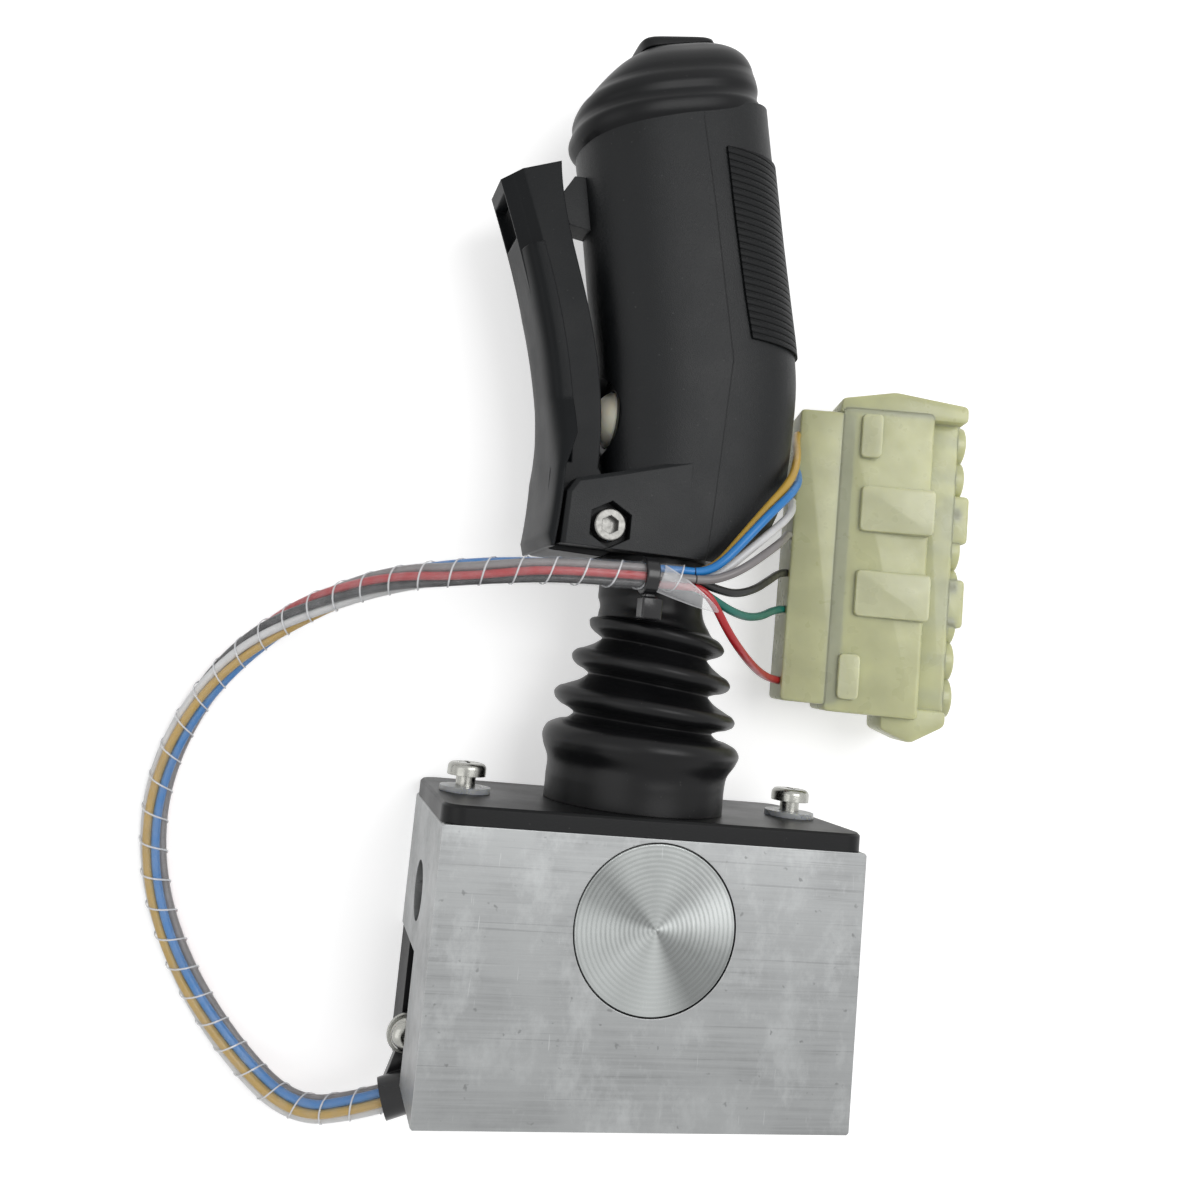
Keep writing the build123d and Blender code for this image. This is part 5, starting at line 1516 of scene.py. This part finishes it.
    @staticmethod
    def film(name: str, top: np.ndarray, under: np.ndarray, edge: np.ndarray, wardrobe: Wardrobe) -> Object:
        """Piece of the clear wrap, with its cut edges marked for the finish.

        Args:
            name: Name of the piece.
            top: Points of its outer face by row and column.
            under: Points of its inner face, likewise.
            edge: Whiteness of each column of a face.
            wardrobe: The finishes.

        Returns:
            The piece.
        """
        skin = Skin(name)
        skin.grid(np.concatenate([top, under[:, ::-1]], axis=1))
        film = skin.build([wardrobe["clear_wrap"]])
        marks = film.data.attributes.new("edge", "FLOAT", "POINT")
        marks.data.foreach_set("value", np.tile([*edge, *edge[::-1]], len(top)).astype(np.float32))
        return report(film)

    def flap(self, wardrobe: Wardrobe) -> None:
        """Pointed end of the wrap past the tie: an arc about its own line that narrows to a tip.

        Args:
            wardrobe: The finishes.
        """
        long, wide = self.flap_mesh
        share = np.linspace(0, 1, long)[:, None, None]
        middle = np.array(self.flap_from) + share * (np.array(self.flap_to) - self.flap_from)
        spread = np.radians(self.flap_open) * (1 - share[..., 0]) ** 0.7 + 0.05
        across = np.linspace(-1, 1, wide)
        a = np.radians(self.flap_turn[0] + self.flap_turn[1] * share[..., 0]) + spread * across
        around = np.stack([0.3 * np.cos(a), np.cos(a), np.sin(a)], axis=-1)
        film = self.film("wrap_flap", middle + self.flap_r * around,
                         middle + (self.flap_r - self.flap_t) * around,
                         (np.abs(across) > 0.95) * 0.5 + 0.35, wardrobe)
        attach(film, Body.LEVER.value)

    def wrap(self, line: np.ndarray, wardrobe: Wardrobe) -> Object:
        """Clear spiral wrap: a strip wound round the line, one edge over the last turn's.

        The strip's point at turn t and width w lies at the arc length pitch * (t + w), at angle 2 pi t,
        and at a radius that grows a little with w, so that each turn laps the one before.

        Args:
            line: Middle of the bundle.
            wardrobe: The finishes.

        Returns:
            The wrap.
        """
        long = np.linalg.norm(np.diff(line, axis=0), axis=1).sum()
        turns = (long - self.wrap_from - self.wrap_pitch * 1.1) / self.wrap_pitch
        t = np.linspace(0, turns, int(turns * self.wrap_steps))
        w = np.array(self.wrap_across)
        span = self.wrap_from + self.wrap_pitch * (t[:, None] + w[None])
        s = np.clip(span / long, 0, 1) * (len(line) - 1)
        _, right, up = travel_frames(line)
        step = np.arange(len(line))

        def along(values: np.ndarray) -> np.ndarray:
            """Values of the line read between its points at s."""
            return np.stack([np.interp(s, step, values[:, k]) for k in range(3)], axis=-1)

        a = (2 * np.pi * t)[:, None, None]
        around = np.cos(a) * along(right) + np.sin(a) * along(up)
        reach = (self.wrap_in + self.wrap_grows * w)[None, :, None]
        film = self.film("harness_wrap", along(line) + (reach + self.wrap_t) * around,
                         along(line) + reach * around, np.array(self.wrap_edge), wardrobe)
        self.bent(film)
        return film


@dataclass
class LooseWires:
    """Seven wires that fan out from the bundle's end to the connector."""

    thick: float = 0.0021
    entry: float = 6.0
    plug: Connector = field(default_factory=Connector)
    routes: dict[str, tuple[int, float, tuple[Point, ...]]] = field(default_factory=lambda: {
        "yellow": (0, 0.0805, (
            (0.0039, 0.08205, 0.04393), (0.0064, 0.0824, 0.0443), (0.0102, 0.085, 0.0452),
            (0.0145, 0.091, 0.0456), (0.021, 0.0995, 0.0449), (0.029, 0.1085, 0.0416),
            (0.0342, 0.1165, 0.0325), (0.0382, 0.1236, 0.022), (0.0425, 0.1277, 0.0142))),
        "blue": (1, 0.0769, (
            (0.0039, 0.08205, 0.04607), (0.0064, 0.08235, 0.0465), (0.01, 0.0849, 0.0476),
            (0.0143, 0.09, 0.0479), (0.021, 0.098, 0.0474), (0.029, 0.1055, 0.0436),
            (0.0348, 0.111, 0.033), (0.0385, 0.1154, 0.0225), (0.0425, 0.1181, 0.0142))),
        "white": (2, 0.0703, (
            (0.0039, 0.0802, 0.045), (0.0068, 0.0805, 0.045), (0.0108, 0.0826, 0.0451),
            (0.0153, 0.0868, 0.045), (0.0215, 0.0927, 0.0446), (0.0285, 0.0984, 0.041),
            (0.0342, 0.103, 0.032), (0.0382, 0.1064, 0.022), (0.0425, 0.1082, 0.0142))),
        "grey": (3, 0.0668, (
            (0.0039, 0.0802, 0.04714), (0.0068, 0.0802, 0.0475), (0.0113, 0.0818, 0.0482),
            (0.016, 0.0845, 0.0476), (0.022, 0.0888, 0.0452), (0.028, 0.0928, 0.0402),
            (0.0335, 0.0959, 0.031), (0.038, 0.0977, 0.0215), (0.0425, 0.0984, 0.0142))),
        "black": (4, 0.0586, (
            (0.0039, 0.0802, 0.04286), (0.0068, 0.08, 0.0428), (0.0115, 0.0788, 0.042),
            (0.017, 0.0784, 0.04), (0.0235, 0.0804, 0.036), (0.0305, 0.084, 0.0288),
            (0.0368, 0.087, 0.0206), (0.0425, 0.0883, 0.0142))),
        "green": (5, 0.0586, (
            (0.0039, 0.07835, 0.04393), (0.0064, 0.0779, 0.0439), (0.0105, 0.076, 0.0432),
            (0.016, 0.074, 0.0408), (0.022, 0.0733, 0.0366), (0.0288, 0.0744, 0.0296),
            (0.0358, 0.0769, 0.0208), (0.0425, 0.0783, 0.0142))),
        "red": (7, 0.0648, (
            (0.0039, 0.07835, 0.04607), (0.0064, 0.0779, 0.0462), (0.0095, 0.0745, 0.0464),
            (0.014, 0.0689, 0.0443), (0.02, 0.0644, 0.0395), (0.0275, 0.061, 0.031),
            (0.0356, 0.0591, 0.021), (0.0425, 0.0586, 0.0142))),
    })

    def entry_of(self, number: int) -> Point:
        """Point in metres where the wire of one way meets its contact."""
        return tuple(self.plug.place(np.array([self.entry, self.plug.way(number), self.plug.thick / 2])) * MM)

    def build(self, wardrobe: Wardrobe) -> None:
        """Make each wire as a cord from the bundle to its contact.

        Args:
            wardrobe: The finishes.
        """
        for colour, (way, length, points) in self.routes.items():
            slot = "wire_" + colour
            wire = nurbs_curve("lead_" + colour, [*points, self.entry_of(way)], self.thick)
            wire.data.materials.append(wardrobe[slot])
            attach(wire, Body.LEVER.value)
            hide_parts(slot)
            report(wire)


def main() -> None:
    """Build the studio, dress the nodes and add each piece in its order."""
    logging.basicConfig(level=logging.INFO, format="%(name)s: %(message)s")
    Studio().build()
    wardrobe = Wardrobe()
    wardrobe.dress_nodes()
    for kind in (Boot, Harness, LooseWires, PartingLine, TriggerShell, GripCap, RockerButton, Connector,
                 ClipScrew):
        kind().build(wardrobe)


if __name__ == "__main__":
    main()
